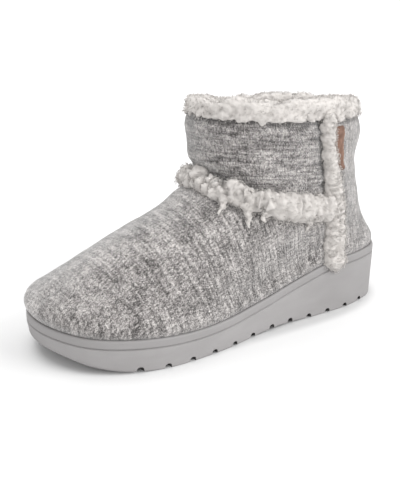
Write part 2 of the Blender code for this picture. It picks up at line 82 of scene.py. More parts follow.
# Fleece trims and insole
FLEECE_COLLAR_HEIGHT = 0.0125
FLEECE_COLLAR_THICKNESS = 0.0150
FLEECE_COLLAR_OVERHANG = 0.0016
BAND_FRONT_HEIGHT = 0.0972
BAND_SIDE_HEIGHT = 0.0782
BAND_WIDTH = 0.0165
BAND_THICKNESS = 0.0090
STRIP_WIDTH = 0.0125
STRIP_THICKNESS = 0.0070
STRIP_OVERLAP = 0.0070
LOCK_RADIUS = 0.0033
INSOLE_THICKNESS = 0.0055
BADGE_WIDTH = 0.0120
BADGE_HEIGHT = 0.0300
BADGE_DROP = 0.0020
PIECE_GAP = 0.0003
STRIP_STEPS = 32

# The last's outline from above. along runs from the heel, 0, to the toe, 1. swing, the centreline's shift to
# the outer side, and half, the half width, are shares of the ball width.
OUTLINE = (
    # along, swing, half
    (0.045, 0.000, 0.248),
    (0.100, 0.000, 0.322),
    (0.180, 0.004, 0.366),
    (0.280, 0.008, 0.374),
    (0.380, 0.016, 0.374),
    (0.480, 0.024, 0.392),
    (0.580, 0.024, 0.440),
    (0.680, 0.014, 0.482),
    (0.760, 0.004, 0.496),
    (0.840, -0.010, 0.476),
    (0.910, -0.024, 0.414),
    (0.960, -0.040, 0.312),
)
HEEL_FULLNESS = 0.58
TOE_FULLNESS = 0.80
TOE_SWING = -0.060

# Lines along the sole: a row says how much of each named height the line has at that station.
RIM_LINE = (
    # along, heel, ball, toe
    (0.00, 1.00, 0.00, 0.00),
    (0.20, 1.00, 0.00, 0.00),
    (0.38, 0.52, 0.48, 0.00),
    (0.52, 0.14, 0.86, 0.00),
    (0.68, 0.00, 1.00, 0.00),
    (0.88, 0.00, 0.50, 0.50),
    (1.00, 0.00, 0.00, 1.00),
)
FLOOR_LINE = (
    # along, heel rise, arch rise, toe spring
    (0.00, 1.00, 0.00, 0.00),
    (0.03, 0.25, 0.00, 0.00),
    (0.06, 0.00, 0.00, 0.00),
    (0.30, 0.00, 0.00, 0.00),
    (0.42, 0.00, 1.00, 0.00),
    (0.54, 0.00, 0.00, 0.00),
    (0.76, 0.00, 0.00, 0.00),
    (0.86, 0.00, 0.00, 0.16),
    (0.94, 0.00, 0.00, 0.55),
    (1.00, 0.00, 0.00, 1.00),
)

# The upper's levels from its feather edge, 0, to the collar, 1. front and back say how far the toe end and
# the heel end have moved from the last's outline to the shaft's oval; front_side and back_side say it of the
# width.
UPPER_LEVELS = (
    # level, front, back, front_side, back_side
    (0.00, 0.000, 0.00, 0.00, 0.00),
    (0.06, 0.000, 0.00, 0.00, 0.00),
    (0.10, -0.020, 0.02, 0.00, -0.02),
    (0.14, -0.002, 0.09, 0.01, -0.01),
    (0.19, 0.075, 0.27, 0.04, 0.04),
    (0.24, 0.177, 0.45, 0.09, 0.11),
    (0.30, 0.294, 0.63, 0.17, 0.22),
    (0.36, 0.420, 0.78, 0.28, 0.36),
    (0.43, 0.610, 0.92, 0.42, 0.53),
    (0.50, 0.795, 1.03, 0.58, 0.70),
    (0.57, 0.930, 1.10, 0.74, 0.85),
    (0.64, 1.022, 1.12, 0.88, 0.95),
    (0.70, 1.050, 1.11, 0.97, 1.01),
    (0.76, 1.022, 1.08, 1.01, 1.03),
    (0.84, 1.004, 1.04, 1.02, 1.03),
    (0.92, 0.997, 1.01, 1.01, 1.01),
    (1.00, 1.000, 1.00, 1.00, 1.00),
)

# The side seams under the fleece strips: level 0 is the rim and 1 the collar, along runs from heel to toe.
STRIP_LINE = (
    # level, along
    (0.00, 0.236),
    (0.35, 0.250),
    (0.70, 0.282),
    (1.00, 0.300),
)

# Rise and fall of the fleece collar's top, as shares of its height. turn runs from the toe, 0, round the
# outer side to the heel, 0.5, and back round the inner side.
COLLAR_ROLL = (
    # turn, rise
    (0.00, -0.06),
    (0.05, -0.26),
    (0.10, -0.02),
    (0.16, -0.12),
    (0.23, 0.00),
    (0.30, 0.02),
    (0.36, -0.04),
    (0.43, -0.14),
    (0.50, -0.30),
    (0.58, -0.32),
    (0.66, -0.24),
    (0.71, -0.36),
    (0.76, -0.58),
    (0.82, -0.50),
    (0.90, -0.26),
    (0.96, -0.14),
    (1.00, -0.06),
)

# Loose locks that hang below the ankle band: turn is the place round the shoe, length is in band widths, and
# lean is how far round the shoe the tip has moved.
LOCKS = (
    # turn, length, lean
    (0.088, 0.25, 0.014),
    (0.127, 0.58, 0.043),
    (0.160, 0.22, 0.022),
    (0.254, 0.42, 0.016),
    (0.845, 0.60, -0.035),
)

# Fineness of the finished surfaces: points round the shoe, rows up its side, and steps along the trims
KNIT_ROUND = 360
KNIT_ROWS = 150
LINING_ROWS = 40
SOLE_ROUND = 360
FOOTBED_ROUND = 180
COLLAR_ROUND = 430
COLLAR_TURN_POINTS = 54
STRIP_TURN_POINTS = 38
BAND_TURN_POINTS = 40
LOCK_TURN_POINTS = 14
TRIM_STEP = 0.0008

# Knit: its stitches, how it stands off the plain upper, its colours from dark to light yarns, and the painted
# shade in the gaps between courses and in its creases and seams
STITCH_LENGTH = 0.0017
COURSE_HEIGHT = 0.0021
KNIT_LOFT = 0.0005
RIM_BULGE = 0.0022
STRIP_PUCKER = 0.0006
BAND_TUCK = 0.0012
VAMP_SLANT = 0.26
SEAM_TURN = 1.75
LINING_PILE = 0.0009
KNIT_STOPS = (
    (0.05, (0.056, 0.052, 0.050)),
    (0.38, (0.223, 0.210, 0.204)),
    (0.62, (0.396, 0.374, 0.364)),
    (0.95, (0.702, 0.668, 0.650)),
)
KNIT_GAP_SHADE = (0.10, 0.097, 0.095)
KNIT_SHADE = (0.06, 0.058, 0.057)

# Pile: curl sizes, numbers of curls, rib pitches and colours
CURL_SIZE = 0.0036
CURL_LENGTH = 0.0019
CURL_LEAN = 0.7
COLLAR_CURLS = 6500
STRIP_CURLS = 3400
BAND_CURLS = 7000
FOOTBED_CURLS = 4000
COLLAR_SLACK = 0.0012
STRIP_RISE = 0.0075
STRIP_PITCH = 0.0092
BAND_PITCH = 0.0064
FLEECE_LIGHT = (0.738, 0.704, 0.675)
FLEECE_DARK = (0.615, 0.586, 0.562)
CURLS = (
    # name, turn, lean, width, start
    ("curl_a", 2.9, 0.5, 0.085, 0.3),
    ("curl_b", 4.2, -0.6, 0.075, 1.1),
)

# Colours of the sole, the painted shade inside its channels and on its rim, the leather and the thread
SOLE_TONES = (0.375, 0.363, 0.362), (0.345, 0.333, 0.332)
CHANNEL_SHADE_TONES = (0.110, 0.106, 0.105), (0.080, 0.077, 0.076)
RIM_SHADE = (0.260, 0.251, 0.249)
LEATHER_TONES = (0.13, 0.066, 0.042), (0.27, 0.155, 0.110)
LEATHER_EDGE = (0.10, 0.045, 0.025)
THREAD_TONES = (0.30, 0.16, 0.09), (0.52, 0.33, 0.21)

# Leather tab: its corners and its stitches
TAB_CORNER = 0.0022
TAB_STITCH = 0.0016
TAB_STITCH_GAP = 0.0008
THREAD_WIDTH = 0.00042

# Places of the colour mixer's sockets: its factor, its two colours and its result
MIX_FACTOR, MIX_FIRST, MIX_SECOND, MIX_RESULT = 0, 6, 7, 2

# Camera, in degrees, metres and pixels of the photo, and lights
CAMERA_TURN, CAMERA_RISE, CAMERA_ROLL = 35.879, 16.988, 0.8815
CAMERA_DISTANCE = 0.5915
CAMERA_AIM_HEIGHT = 0.0622
FOCAL_PIXELS = 880.5
PHOTO_HEIGHT = 489
CAMERA_SHIFT = (-18.287, -16.29)
SENSOR = 36.0
WORLD_LIGHT = 0.80
WHITE = (1.0, 1.0, 1.0, 1.0)
LAMP_AIM = (0, 0, 0.06)
LIGHTS = (
    # name, place, size, watts
    ("key", (0.25, -0.30, 1.25), 1.0, 5.0),
    ("side", (-0.70, 1.05, 0.80), 1.1, 12.5),
    ("front", (1.05, 0.75, 0.60), 0.9, 2.6),
)

# Floor: its tone, its glow, the direction towards the camera and the half axes of the shade under the shoe
FLOOR_TONE = (0.72, 0.72, 0.72, 1.0)
FLOOR_GLOW = 0.12
TOWARDS_CAMERA = (0.586, 0.810)
FLOOR_SHADE = (0.132, 0.052)
FLOOR_REACH = 6
FLOOR_DROP = 0.0001

# Folds of the knit. Each is a line of places on the upper, as turns round the shoe (0 at the toe, 0.25 on the
# outer side) and heights, then its width and how far it sinks; a rise is a negative depth.
FOLDS = (
    # ((turn, height), ...), width, depth
    (((0.262, 0.112), (0.235, 0.108), (0.205, 0.107)), 0.0042, 0.0010),
    (((0.266, 0.094), (0.240, 0.091), (0.218, 0.094)), 0.0040, 0.0013),
    (((0.266, 0.102), (0.245, 0.100), (0.225, 0.102)), 0.0040, -0.0010),
    (((0.272, 0.086), (0.250, 0.084)), 0.0030, 0.0014),
    (((0.140, 0.118), (0.100, 0.114), (0.050, 0.114)), 0.0065, 0.0009),
    (((0.060, 0.104), (0.000, 0.106), (-0.070, 0.103)), 0.0050, 0.0009),
    (((0.190, 0.102), (0.150, 0.106), (0.110, 0.105)), 0.0060, -0.0009),
    (((0.345, 0.122), (0.400, 0.120), (0.470, 0.121)), 0.0065, -0.0016),
    (((0.350, 0.108), (0.410, 0.104), (0.480, 0.106)), 0.0060, 0.0009),
    (((0.340, 0.086), (0.390, 0.082), (0.450, 0.081)), 0.0080, -0.0008),
    (((0.340, 0.068), (0.380, 0.062), (0.440, 0.058)), 0.0070, 0.0008),
    (((0.215, 0.064), (0.190, 0.058), (0.160, 0.053)), 0.0080, 0.0010),
    (((0.230, 0.050), (0.205, 0.046), (0.175, 0.042)), 0.0070, -0.0008),
    (((0.115, 0.066), (0.060, 0.070), (-0.010, 0.072)), 0.0080, -0.0009),
    (((0.125, 0.053), (0.085, 0.051), (0.050, 0.049)), 0.0090, 0.0007),
    (((-0.215, 0.064), (-0.185, 0.056), (-0.150, 0.052)), 0.0080, 0.0011),
    (((-0.262, 0.104), (-0.235, 0.100), (-0.200, 0.102)), 0.0050, 0.0012),
    (((-0.262, 0.088), (-0.240, 0.086), (-0.215, 0.090)), 0.0045, 0.0011),
    (((-0.350, 0.100), (-0.400, 0.094), (-0.450, 0.093)), 0.0065, 0.0010),
    (((-0.340, 0.066), (-0.390, 0.060), (-0.440, 0.057)), 0.0070, 0.0009),
)

# Broad mottles of the knit by turn and height, partly the heather's own tone and partly painted light and
# shade: positive is lighter
MOTTLES_AND_PAINTED_LIGHT = (
    # turn, height, radius, change
    (0.152, 0.0570, 0.013, -0.11),
    (0.128, 0.0510, 0.011, -0.07),
    (0.110, 0.0425, 0.014, -0.17),
    (0.167, 0.0389, 0.009, -0.08),
    (-0.011, 0.0386, 0.013, 0.14),
    (0.024, 0.0600, 0.010, 0.12),
    (0.205, 0.0680, 0.013, 0.10),
    (0.120, 0.0740, 0.011, 0.05),
    (-0.030, 0.1030, 0.020, 0.12),
    (0.322, 0.1040, 0.016, 0.07),
    (-0.018, 0.0829, 0.010, 0.09),
    (0.343, 0.0720, 0.014, -0.05),
    (0.195, 0.1120, 0.024, 0.06),
)

# The top line of the vamp, along which the knit was laid before it was lasted.
VAMP_RIDGE = (
    # x, height
    (-0.080, 0.125),
    (-0.040, 0.112),
    (0.000, 0.098),
    (0.025, 0.087),
    (0.055, 0.074),
    (0.085, 0.060),
    (0.105, 0.049),
    (0.120, 0.038),
    (0.1325, 0.022),
)


def column(table, value, place):
    """One column of a table at a value of its first, on a monotone cubic that never overshoots a row."""
    x = np.array([row[0] for row in table], float)
    y = np.array([row[place] for row in table], float)
    step = np.diff(x)
    slope = np.diff(y) / step
    tangent = np.zeros(len(x))
    same = slope[:-1] * slope[1:] > 0
    weight_a = 2 * step[1:] + step[:-1]
    weight_b = step[1:] + 2 * step[:-1]
    first = np.where(same, slope[:-1], 1.0)
    second = np.where(same, slope[1:], 1.0)
    mean = (weight_a + weight_b) / (weight_a / first + weight_b / second)
    tangent[1:-1] = np.where(same, mean, 0.0)
    tangent[0] = slope[0]
    tangent[-1] = slope[-1]
    value = np.clip(np.asarray(value, float), x[0], x[-1])
    i = np.clip(np.searchsorted(x, value, side="right") - 1, 0, len(x) - 2)
    t = (value - x[i]) / step[i]
    return (
        y[i] * (1 + 2 * t) * (1 - t) ** 2
        + tangent[i] * step[i] * t * (1 - t) ** 2
        + y[i + 1] * t * t * (3 - 2 * t)
        + tangent[i + 1] * step[i] * t * t * (t - 1)
    )


def mix(a, b, share):
    return a + (b - a) * share


def line_height(table, along, *heights):
    """A line's height at a station: each named height times the table's share of it."""
    return sum(height * column(table, along, place) for place, height in enumerate(heights, 1))


def rim_height(along):
    """Height of the sole's rim over the floor."""
    return line_height(RIM_LINE, along, HEEL_RIM_HEIGHT, BALL_RIM_HEIGHT, TOE_RIM_HEIGHT)


def floor_height(along):
    """Height of the tread over the floor: none under the heel and the ball."""
    return line_height(FLOOR_LINE, along, HEEL_RISE, ARCH_RISE, TOE_SPRING)


def unit(vectors):
    return vectors / np.linalg.norm(vectors, axis=-1, keepdims=True)


def full_turn(count):
    return np.linspace(0, 2 * math.pi, count, endpoint=False)


def smooth(value, low, high):
    """Rises softly from 0 at low to 1 at high."""
    t = np.clip((value - low) / (high - low), 0, 1)
    return t * t * (3 - 2 * t)


def bell(value, width):
    return np.exp(-((value / width) ** 2))


def lower_edge(along):
    """How far in and how far up the sole's lower edge is rounded: most at the toe."""
    toe = np.clip((along - 0.80) / 0.18, 0, 1) ** 2.5
    return mix(EDGE_ROUND, TOE_UNDERCUT, toe), mix(EDGE_ROUND, TOE_EDGE_ROUND, toe)


def outline_width_rows():
    """The outline's rows over the angle round the last, with the half width as a share of an ellipse's."""
    rows = [(0.0, TOE_SWING, TOE_FULLNESS)]
    for along, swing, half in reversed(OUTLINE):
        angle = math.acos(2 * along - 1)
        rows.append((angle, swing, half / math.sin(angle)))
    rows.append((math.pi, 0.0, HEEL_FULLNESS))
    return rows


def last_outline(angle, inset=0.0):
    """The sole's outline in plan, moved inwards. The angle runs from the toe, 0, round the outer side."""
    rows = outline_width_rows()

    def place(a):
        folded = np.abs((a + math.pi) % (2 * math.pi) - math.pi)
        half = column(rows, folded, 2) * np.sin(a)
        return SOLE_LENGTH / 2 * np.cos(a), BALL_WIDTH * (column(rows, folded, 1) + half)

    angle = np.asarray(angle, float)
    x, y = place(angle)
    turn = 1e-3
    ahead, behind = place(angle + turn), place(angle - turn)
    dx, dy = ahead[0] - behind[0], ahead[1] - behind[1]
    length = np.hypot(dx, dy)
    return x - inset * dy / length, y + inset * dx / length


def outline_shape(x):
    """The centreline's shift and the outline's fullness at a place along the shoe."""
    rows = outline_width_rows()
    angle = np.arccos(np.clip(2 * x / SOLE_LENGTH, -1, 1))
    return BALL_WIDTH * column(rows, angle, 1), column(rows, angle, 2)


def station(angle):
    """Share of the length, from the heel, at an angle round the last."""
    return (1 + np.cos(angle)) / 2


def shaft_oval(angle):
    centre = -SOLE_LENGTH / 2 + SHAFT_SETBACK + SHAFT_LENGTH / 2
    return centre + SHAFT_LENGTH / 2 * np.cos(angle), SHAFT_WIDTH / 2 * np.sin(angle)


def feather_height(angle):
    """Where the upper's lower edge stands on the footbed."""
    return rim_height(station(angle)) - FOOTBED_DEPTH + PIECE_GAP


def collar_line(angle):
    return COLLAR_HEIGHT + COLLAR_FRONT_LIFT * station(angle)


def upper_point(angle, level):
    """A point of the upper's outer face. Each level's width follows the outline's at the same place along the
    shoe, so that the waist carries on up the sides and the toe's breadth stays at the toe."""
    angle, level = np.broadcast_arrays(np.asarray(angle, float), np.asarray(level, float))
    bx, by = last_outline(angle, RIM_WIDTH + PIECE_GAP)
    sx, sy = shaft_oval(angle)
    ahead = station(angle)
    along_share = mix(column(UPPER_LEVELS, level, 2), column(UPPER_LEVELS, level, 1), ahead)
    side_share = mix(column(UPPER_LEVELS, level, 4), column(UPPER_LEVELS, level, 3), ahead)
    x = mix(bx, sx, along_share)
    base_swing, base_fullness = outline_shape(bx)
    swing, fullness = outline_shape(x)
    side = swing + (by - base_swing) * fullness / base_fullness
    height = mix(feather_height(angle), collar_line(angle), level)
    return np.stack([x, mix(side, sy, side_share), height], axis=-1)


def upper_normal(angle, level):
    """The outer face's normal, pointing out of the shoe."""
    step = 1e-3
    level = np.clip(level, step, 1 - step)
    round_it = upper_point(angle + step, level) - upper_point(angle - step, level)
    up_it = upper_point(angle, level + step) - upper_point(angle, level - step)
    return unit(np.cross(round_it, up_it))


def level_at(angle, height):
    low = feather_height(angle)
    return (height - low) / (collar_line(angle) - low)


def seam_angles(side, along, height):
    """Angles at which the outer face has those stations at those heights, on the side given as 1 for outer or
    -1 for inner."""
    target = (np.asarray(along, float) - 0.5) * SOLE_LENGTH
    low = np.zeros_like(target)
    high = np.full_like(target, math.pi)
    for _ in range(24):
        middle = side * (low + high) / 2
        ahead = upper_point(middle, level_at(middle, height))[..., 0] > target
        low = np.where(ahead, np.abs(middle), low)
        high = np.where(ahead, high, np.abs(middle))
    return side * (low + high) / 2


def band_reach(side):
    """Angle at which the band's middle meets the side strip."""
    rim = float(rim_height(STRIP_LINE[1][1]))
    share = (BAND_SIDE_HEIGHT - rim) / (COLLAR_HEIGHT - rim)
    return float(seam_angles(side, column(STRIP_LINE, share, 1), BAND_SIDE_HEIGHT))


def band_height(angle):
    """Height of the ankle band's middle: level over the instep, then down to the seams."""
    reach = np.where(angle > 0, abs(band_reach(1)), abs(band_reach(-1)))
    return mix(BAND_FRONT_HEIGHT, BAND_SIDE_HEIGHT, smooth(np.abs(angle) / reach, 0, 1))


def end_taper(share):
    """Rounds a tube's ends: 1 along its middle, less near both ends."""
    near = np.clip(np.minimum(share, 1 - share) / 0.06, 0, 1)
    return np.sqrt(np.clip(1 - (1 - near) ** 2, 0.12, 1))


def strip_path(side):
    """Points and normals down one side seam, from the collar to below the sole's rim, where the strip stands
    off the upper so that it hangs over the rim."""
    rim = float(rim_height(STRIP_LINE[0][1]))
    height = np.linspace(COLLAR_HEIGHT, rim - STRIP_OVERLAP, STRIP_STEPS)
    along = column(STRIP_LINE, (height - rim) / (COLLAR_HEIGHT - rim), 1)
    on_skin = np.maximum(height, rim - FOOTBED_DEPTH / 2)
    angle = seam_angles(side, along, on_skin)
    level = level_at(angle, on_skin)
    points, normals = upper_point(angle, level), upper_normal(angle, level)
    points[:, 2] = height
    flare = smooth(rim + STRIP_OVERLAP - height, 0, STRIP_OVERLAP)
    outwards = normals[-1] * (1, 1, 0)
    return points + outwards * (RIM_WIDTH * 0.6 * flare)[:, None], normals


def whole_hash(ix, iy, iz, seed):
    """A repeatable number from 0 to 1 for each whole-numbered place."""
    h = ix * 374761393 + iy * 668265263 + iz * 2147483647 + seed * 1274126177
    h = (h ^ (h >> 13)) * 1103515245 & 0x7FFFFFFF
    h = (h ^ (h >> 16)) * 1540483477 & 0x7FFFFFFF
    return (h ^ (h >> 15)) / 0x7FFFFFFF


def soft_noise(points, size, seed=0):
    """Smooth noise from -1 to 1 with swells of about that size."""
    p = np.asarray(points) / size
    cell = np.floor(p).astype(np.int64)
    f = p - cell
    f = f * f * f * (f * (f * 6 - 15) + 10)
    total = 0.0
    for corner in itertools.product((0, 1), repeat=3):
        value = whole_hash(*(cell[..., k] + corner[k] for k in range(3)), seed)
        for k in range(3):
            value = value * (f[..., k] if corner[k] else 1 - f[..., k])
        total = total + value
    return total * 2 - 1


def puffs(points, size, seed=0):
    """Rounded lumps packed side by side: 1 on a lump's crown, 0 in the deepest crease."""
    p = np.asarray(points) / size
    cell = np.floor(p).astype(np.int64)
    nearest = np.full(p.shape[:-1], 9.0)
    for corner in itertools.product((-1, 0, 1), repeat=3):
        c = [cell[..., k] + corner[k] for k in range(3)]
        apart = 0.0
        for k in range(3):
            spot = c[k] + 0.15 + 0.7 * whole_hash(*c, seed + 17 * k)
            apart = apart + (spot - p[..., k]) ** 2
        nearest = np.minimum(nearest, apart)
    return np.clip(1 - 1.55 * nearest, 0, 1)


def link_object(name, data):
    obj = bpy.data.objects.new(name, data)
    bpy.context.scene.collection.objects.link(obj)
    return obj


def surface(name, points, faces, finishes=(), uv=None, values=None):
    """A smooth-shaded mesh object. uv holds a place for each point, values named numbers for each point."""
    mesh = bpy.data.meshes.new(name)
    mesh.from_pydata(np.asarray(points, float).reshape(-1, 3).tolist(), [], faces)
    shape = bmesh.new()
    shape.from_mesh(mesh)
    bmesh.ops.recalc_face_normals(shape, faces=shape.faces)
    shape.to_mesh(mesh)
    shape.free()
    mesh.shade_smooth()
    for finish in finishes:
        mesh.materials.append(finish)
    if uv is not None:
        corner = np.empty(len(mesh.loops), int)
        mesh.loops.foreach_get("vertex_index", corner)
        layer = mesh.uv_layers.new(name="grain")
        layer.data.foreach_set("uv", np.asarray(uv, float).reshape(-1, 2)[corner].ravel())
    for word, numbers in (values or {}).items():
        attribute = mesh.attributes.new(word, "FLOAT", "POINT")
        attribute.data.foreach_set("value", np.asarray(numbers, float).ravel())
    return link_object(name, mesh)


def grid_faces(rows, columns, wrap_rows=False, wrap_columns=True, start=0):
    """Quads over a grid of points that is stored row by row."""
    faces = []
    for r in range(rows if wrap_rows else rows - 1):
        a, b = start + r * columns, start + (r + 1) % rows * columns
        for i in range(columns if wrap_columns else columns - 1):
            j = (i + 1) % columns
            faces.append((a + i, a + j, b + j, b + i))
    return faces


def cap_faces(start, count):
    """Strips that close a ring of points from one side of it to the other."""
    faces = [(start, start + 1, start + count - 1)]
    for i in range(1, count // 2 - 1):
        faces.append((start + i, start + i + 1, start + count - i - 1, start + count - i))
    half = count // 2
    faces.append((start + half - 1, start + half, start + half + 1))
    return faces


def tube_faces(rows, columns, start=0):
    """Quads over a tube's grid of points, and both its ends."""
    last = start + (rows - 1) * columns
    return grid_faces(rows, columns, start=start) + cap_faces(start, columns) + cap_faces(last, columns)


def numbers_of(items, key, width=3):
    """One property of all of a mesh's points or faces."""
    held = np.empty(len(items) * width)
    items.foreach_get(key, held)
    return held.reshape(-1, width)


def add_node(tree, kind, inputs=(), output=0, **settings):
    """Adds a node with its settings, links or sets its inputs by place or name, and gives one output."""
    made = tree.nodes.new(kind)
    for key, value in settings.items():
        setattr(made, key, value)
    for key, value in inputs.items() if isinstance(inputs, dict) else enumerate(inputs):
        value = getattr(value, "socket", value)
        if isinstance(value, bpy.types.NodeSocket):
            tree.links.new(value, made.inputs[key])
        else:
            made.inputs[key].default_value = value
    return made.outputs[output]


class Signal:
    """A socket that takes part in sums, so that shader maths reads as sums do."""

    def __init__(self, maker, socket):
        self.maker, self.socket = maker, socket

    def maths(self, operation, *others):
        return self.maker.node("ShaderNodeMath", (self, *others), operation=operation)

    __add__ = partialmethod(maths, "ADD")
    __sub__ = partialmethod(maths, "SUBTRACT")
    __mul__ = partialmethod(maths, "MULTIPLY")
    __truediv__ = partialmethod(maths, "DIVIDE")
    __pow__ = partialmethod(maths, "POWER")
    fraction = partialmethod(maths, "FRACT")
    whole = partialmethod(maths, "FLOOR")
    size = partialmethod(maths, "ABSOLUTE")
    sine = partialmethod(maths, "SINE")

    def __rsub__(self, other):
        return self.maker.node("ShaderNodeMath", (other, self), operation="SUBTRACT")

    def between(self, low, high):
        """0 below low and 1 above high, with a soft rise."""
        inputs = (self, low, high, 0.0, 1.0)
        return self.maker.node("ShaderNodeMapRange", inputs, interpolation_type="SMOOTHSTEP")


class Finish:
    """One material and the nodes that make it."""

    def __init__(self, name, **constants):
        self.material = bpy.data.materials.new(name)
        self.material.use_nodes = True
        self.tree = self.material.node_tree
        self.shader = self.tree.nodes["Principled BSDF"]
        for socket, value in constants.items():
            self.shader.inputs[socket.replace("_", " ")].default_value = value

    def node(self, kind, inputs=(), output=0, **settings):
        return Signal(self, add_node(self.tree, kind, inputs, output, **settings))

    def place(self):
        return self.node("ShaderNodeTexCoord", output="Object")

    def split(self, vector):
        parts = self.node("ShaderNodeSeparateXYZ", (vector,)).socket.node
        return [Signal(self, socket) for socket in parts.outputs]

    def grain(self):
        """The two coordinates of the piece's own grain map, in metres."""
        return self.split(self.node("ShaderNodeUVMap", uv_map="grain"))[:2]

    def join(self, x, y, z=0.0):
        return self.node("ShaderNodeCombineXYZ", (x, y, z))

    def stretched(self, vector, scale):
        return self.node("ShaderNodeMapping", {"Vector": vector, "Scale": scale})

    def noise(self, vector, scale, detail=2.0, rough=0.5):
        inputs = {"Vector": vector, "Scale": scale, "Detail": detail, "Roughness": rough}
        return self.node("ShaderNodeTexNoise", inputs, "Fac")

    def cells(self, vector, scale):
        return self.node("ShaderNodeTexVoronoi", {"Vector": vector, "Scale": scale}, "Distance", feature="F1")

    def speckle(self, vector):
        return self.node("ShaderNodeTexWhiteNoise", {"Vector": vector}, "Value", noise_dimensions="3D")

    def value(self, name):
        return self.node("ShaderNodeAttribute", output="Fac", attribute_name=name)

    def ramp(self, value, stops):
        made = self.node("ShaderNodeValToRGB", (value,))
        ramp = made.socket.node.color_ramp
        while len(ramp.elements) < len(stops):
            ramp.elements.new(1.0)
        for element, (place, colour) in zip(ramp.elements, stops):
            element.position = place
            element.color = (*colour, 1.0)
        return made

    def blend(self, share, first, second):
        """A colour between two others."""
        first, second = ((*c, 1.0) if isinstance(c, tuple) else c for c in (first, second))
        inputs = {MIX_FACTOR: share, MIX_FIRST: first, MIX_SECOND: second}
        return self.node("ShaderNodeMix", inputs, MIX_RESULT, data_type="RGBA")

    def relief(self, height, depth):
        """A normal that shows heights from 0 to 1 as a relief of that depth in metres."""
        return self.node("ShaderNodeBump", {"Height": height, "Distance": depth, "Strength": 1.0})

    def wear(self, **sockets):
        for name, signal in sockets.items():
            self.tree.links.new(signal.socket, self.shader.inputs[name.replace("_", " ")])
        return self.material


def knit_finish():
    """Heathered knit: tones that change stitch by stitch, run in streaks along each course and drift in soft
    mottles, which are partly painted light and shade; painted shade also darkens the gaps between courses and
    the creases and seams. The grain map's first coordinate runs along the courses and its second across them."""
    f = Finish("heathered_knit", Roughness=0.95, Sheen_Weight=0.82, Sheen_Roughness=0.42,
               Specular_IOR_Level=0.1)
    run, across = f.grain()
    where = f.place()
    step, course = run / STITCH_LENGTH, across / COURSE_HEIGHT
    wobble = f.noise(where, 190.0, 1.0, 0.5) * 1.6
    leg = (step.fraction() - 0.5).size() * 2.0
    slope = course + leg * 0.45 + wobble
    yarn = (slope.fraction() * math.pi).sine()
    tone = f.speckle(f.join((step * 2.0).whole(), slope.whole(), 3.0))
    flecks = f.noise(where, 1450.0, 2.0, 0.65)
    crumbs = f.noise(where, 640.0, 2.0, 0.6)
    clouds = f.noise(where, 62.0, 2.0, 0.55)
    streaks = f.noise(f.join(run * 95.0, across * 620.0, 0.0), 1.0, 2.0, 0.6)
    long_streaks = f.noise(f.join(run * 55.0, across * 260.0, 4.0), 1.0, 2.0, 0.6)
    rows = f.noise(f.join(run * 16.0, across * 430.0, 9.0), 1.0, 2.0, 0.6)
    course_share = f.value("courses")
    shade = (
        (tone - 0.5) * 0.36
        + (flecks - 0.5) * 1.95
        + (crumbs - 0.5) * 0.62
        + (streaks - 0.5) * (course_share * 0.45 + 0.45)
        + (long_streaks - 0.5) * (course_share * 0.10 + 0.88)
        + (clouds - 0.5) * 0.50
        # mottles: partly heather tone, partly painted light and shade
        + f.value("mottle")
        + 0.475
    )
    shade = shade + (rows - 0.5) * (course_share.between(0.65, 0.95) * 0.55)
    yarns = f.ramp(shade, KNIT_STOPS)
    # painted shade in the gaps between the yarn courses
    gap_shade = (1.0 - yarn).between(0.45, 1.0) * (course_share * 0.20)
    dressed = f.blend(gap_shade, yarns, KNIT_GAP_SHADE)
    dressed = f.blend(f.value("shade") * 0.75, dressed, KNIT_SHADE)
    fuzz = f.noise(where, 2300.0, 2.0, 0.7)
    height = yarn * (course_share * 0.7) + flecks * 0.6 + fuzz * 0.3
    return f.wear(Base_Color=dressed, Normal=f.relief(height, 0.00075))


def fleece_finish(name, light, dark):
    """Curly pile: light curls with painted shade, slightly warmer and darker, in the depths between them."""
    f = Finish(name, Roughness=0.95, Sheen_Weight=0.3, Sheen_Roughness=0.5, Specular_IOR_Level=0.1)
    where = f.place()
    bend = f.noise(where, 260.0, 2.0, 0.5)
    curls = f.cells(f.stretched(where, (1.0, 1.0, 1.25)), 420.0)
    threads = f.noise(where, 1700.0, 2.0, 0.65)
    tone = f.noise(where, 150.0, 3.0, 0.6)
    colour = f.blend(tone.between(0.3, 0.75) * 0.4 + (threads - 0.5) * 0.65, light, dark)
    # painted shade in the depths between curls, from the piece's shade values
    colour = f.blend(f.value("shade") * 0.42, colour, tuple(c * 0.64 for c in dark))
    height = (1.0 - curls) * 0.4 + threads * 0.45 + bend * 0.2
    return f.wear(Base_Color=colour, Normal=f.relief(height, 0.00054))


def sole_finish(name, light, dark):
    """Matte moulded foam rubber with a fine grain and faint flow marks, and painted shade on the rim above
    the groove and towards the heel end.
    """
    f = Finish(name, Roughness=0.58, Specular_IOR_Level=0.35)
    where = f.place()
    grain = f.noise(where, 2400.0, 2.0, 0.6)
    flow = f.noise(f.stretched(where, (30.0, 30.0, 90.0)), 1.0, 3.0, 0.55)
    pits = f.cells(where, 1400.0)
    colour = f.blend(flow.between(0.3, 0.7), dark, light)
    # painted shade on the rim band above the groove, under the knit
    colour = f.blend(f.value("rim") * 0.30, colour, RIM_SHADE)
    # painted shade towards the heel end
    heel = (-0.02 - f.split(where)[0]).between(0.0, 0.07)
    colour = f.blend(heel * 0.25, colour, tuple(c * 0.72 for c in dark))
    rough = flow * 0.10 + grain * 0.08 + 0.48
    height = grain * 0.5 + pits * 0.5
    return f.wear(Base_Color=colour, Roughness=rough, Normal=f.relief(height, 0.00010))


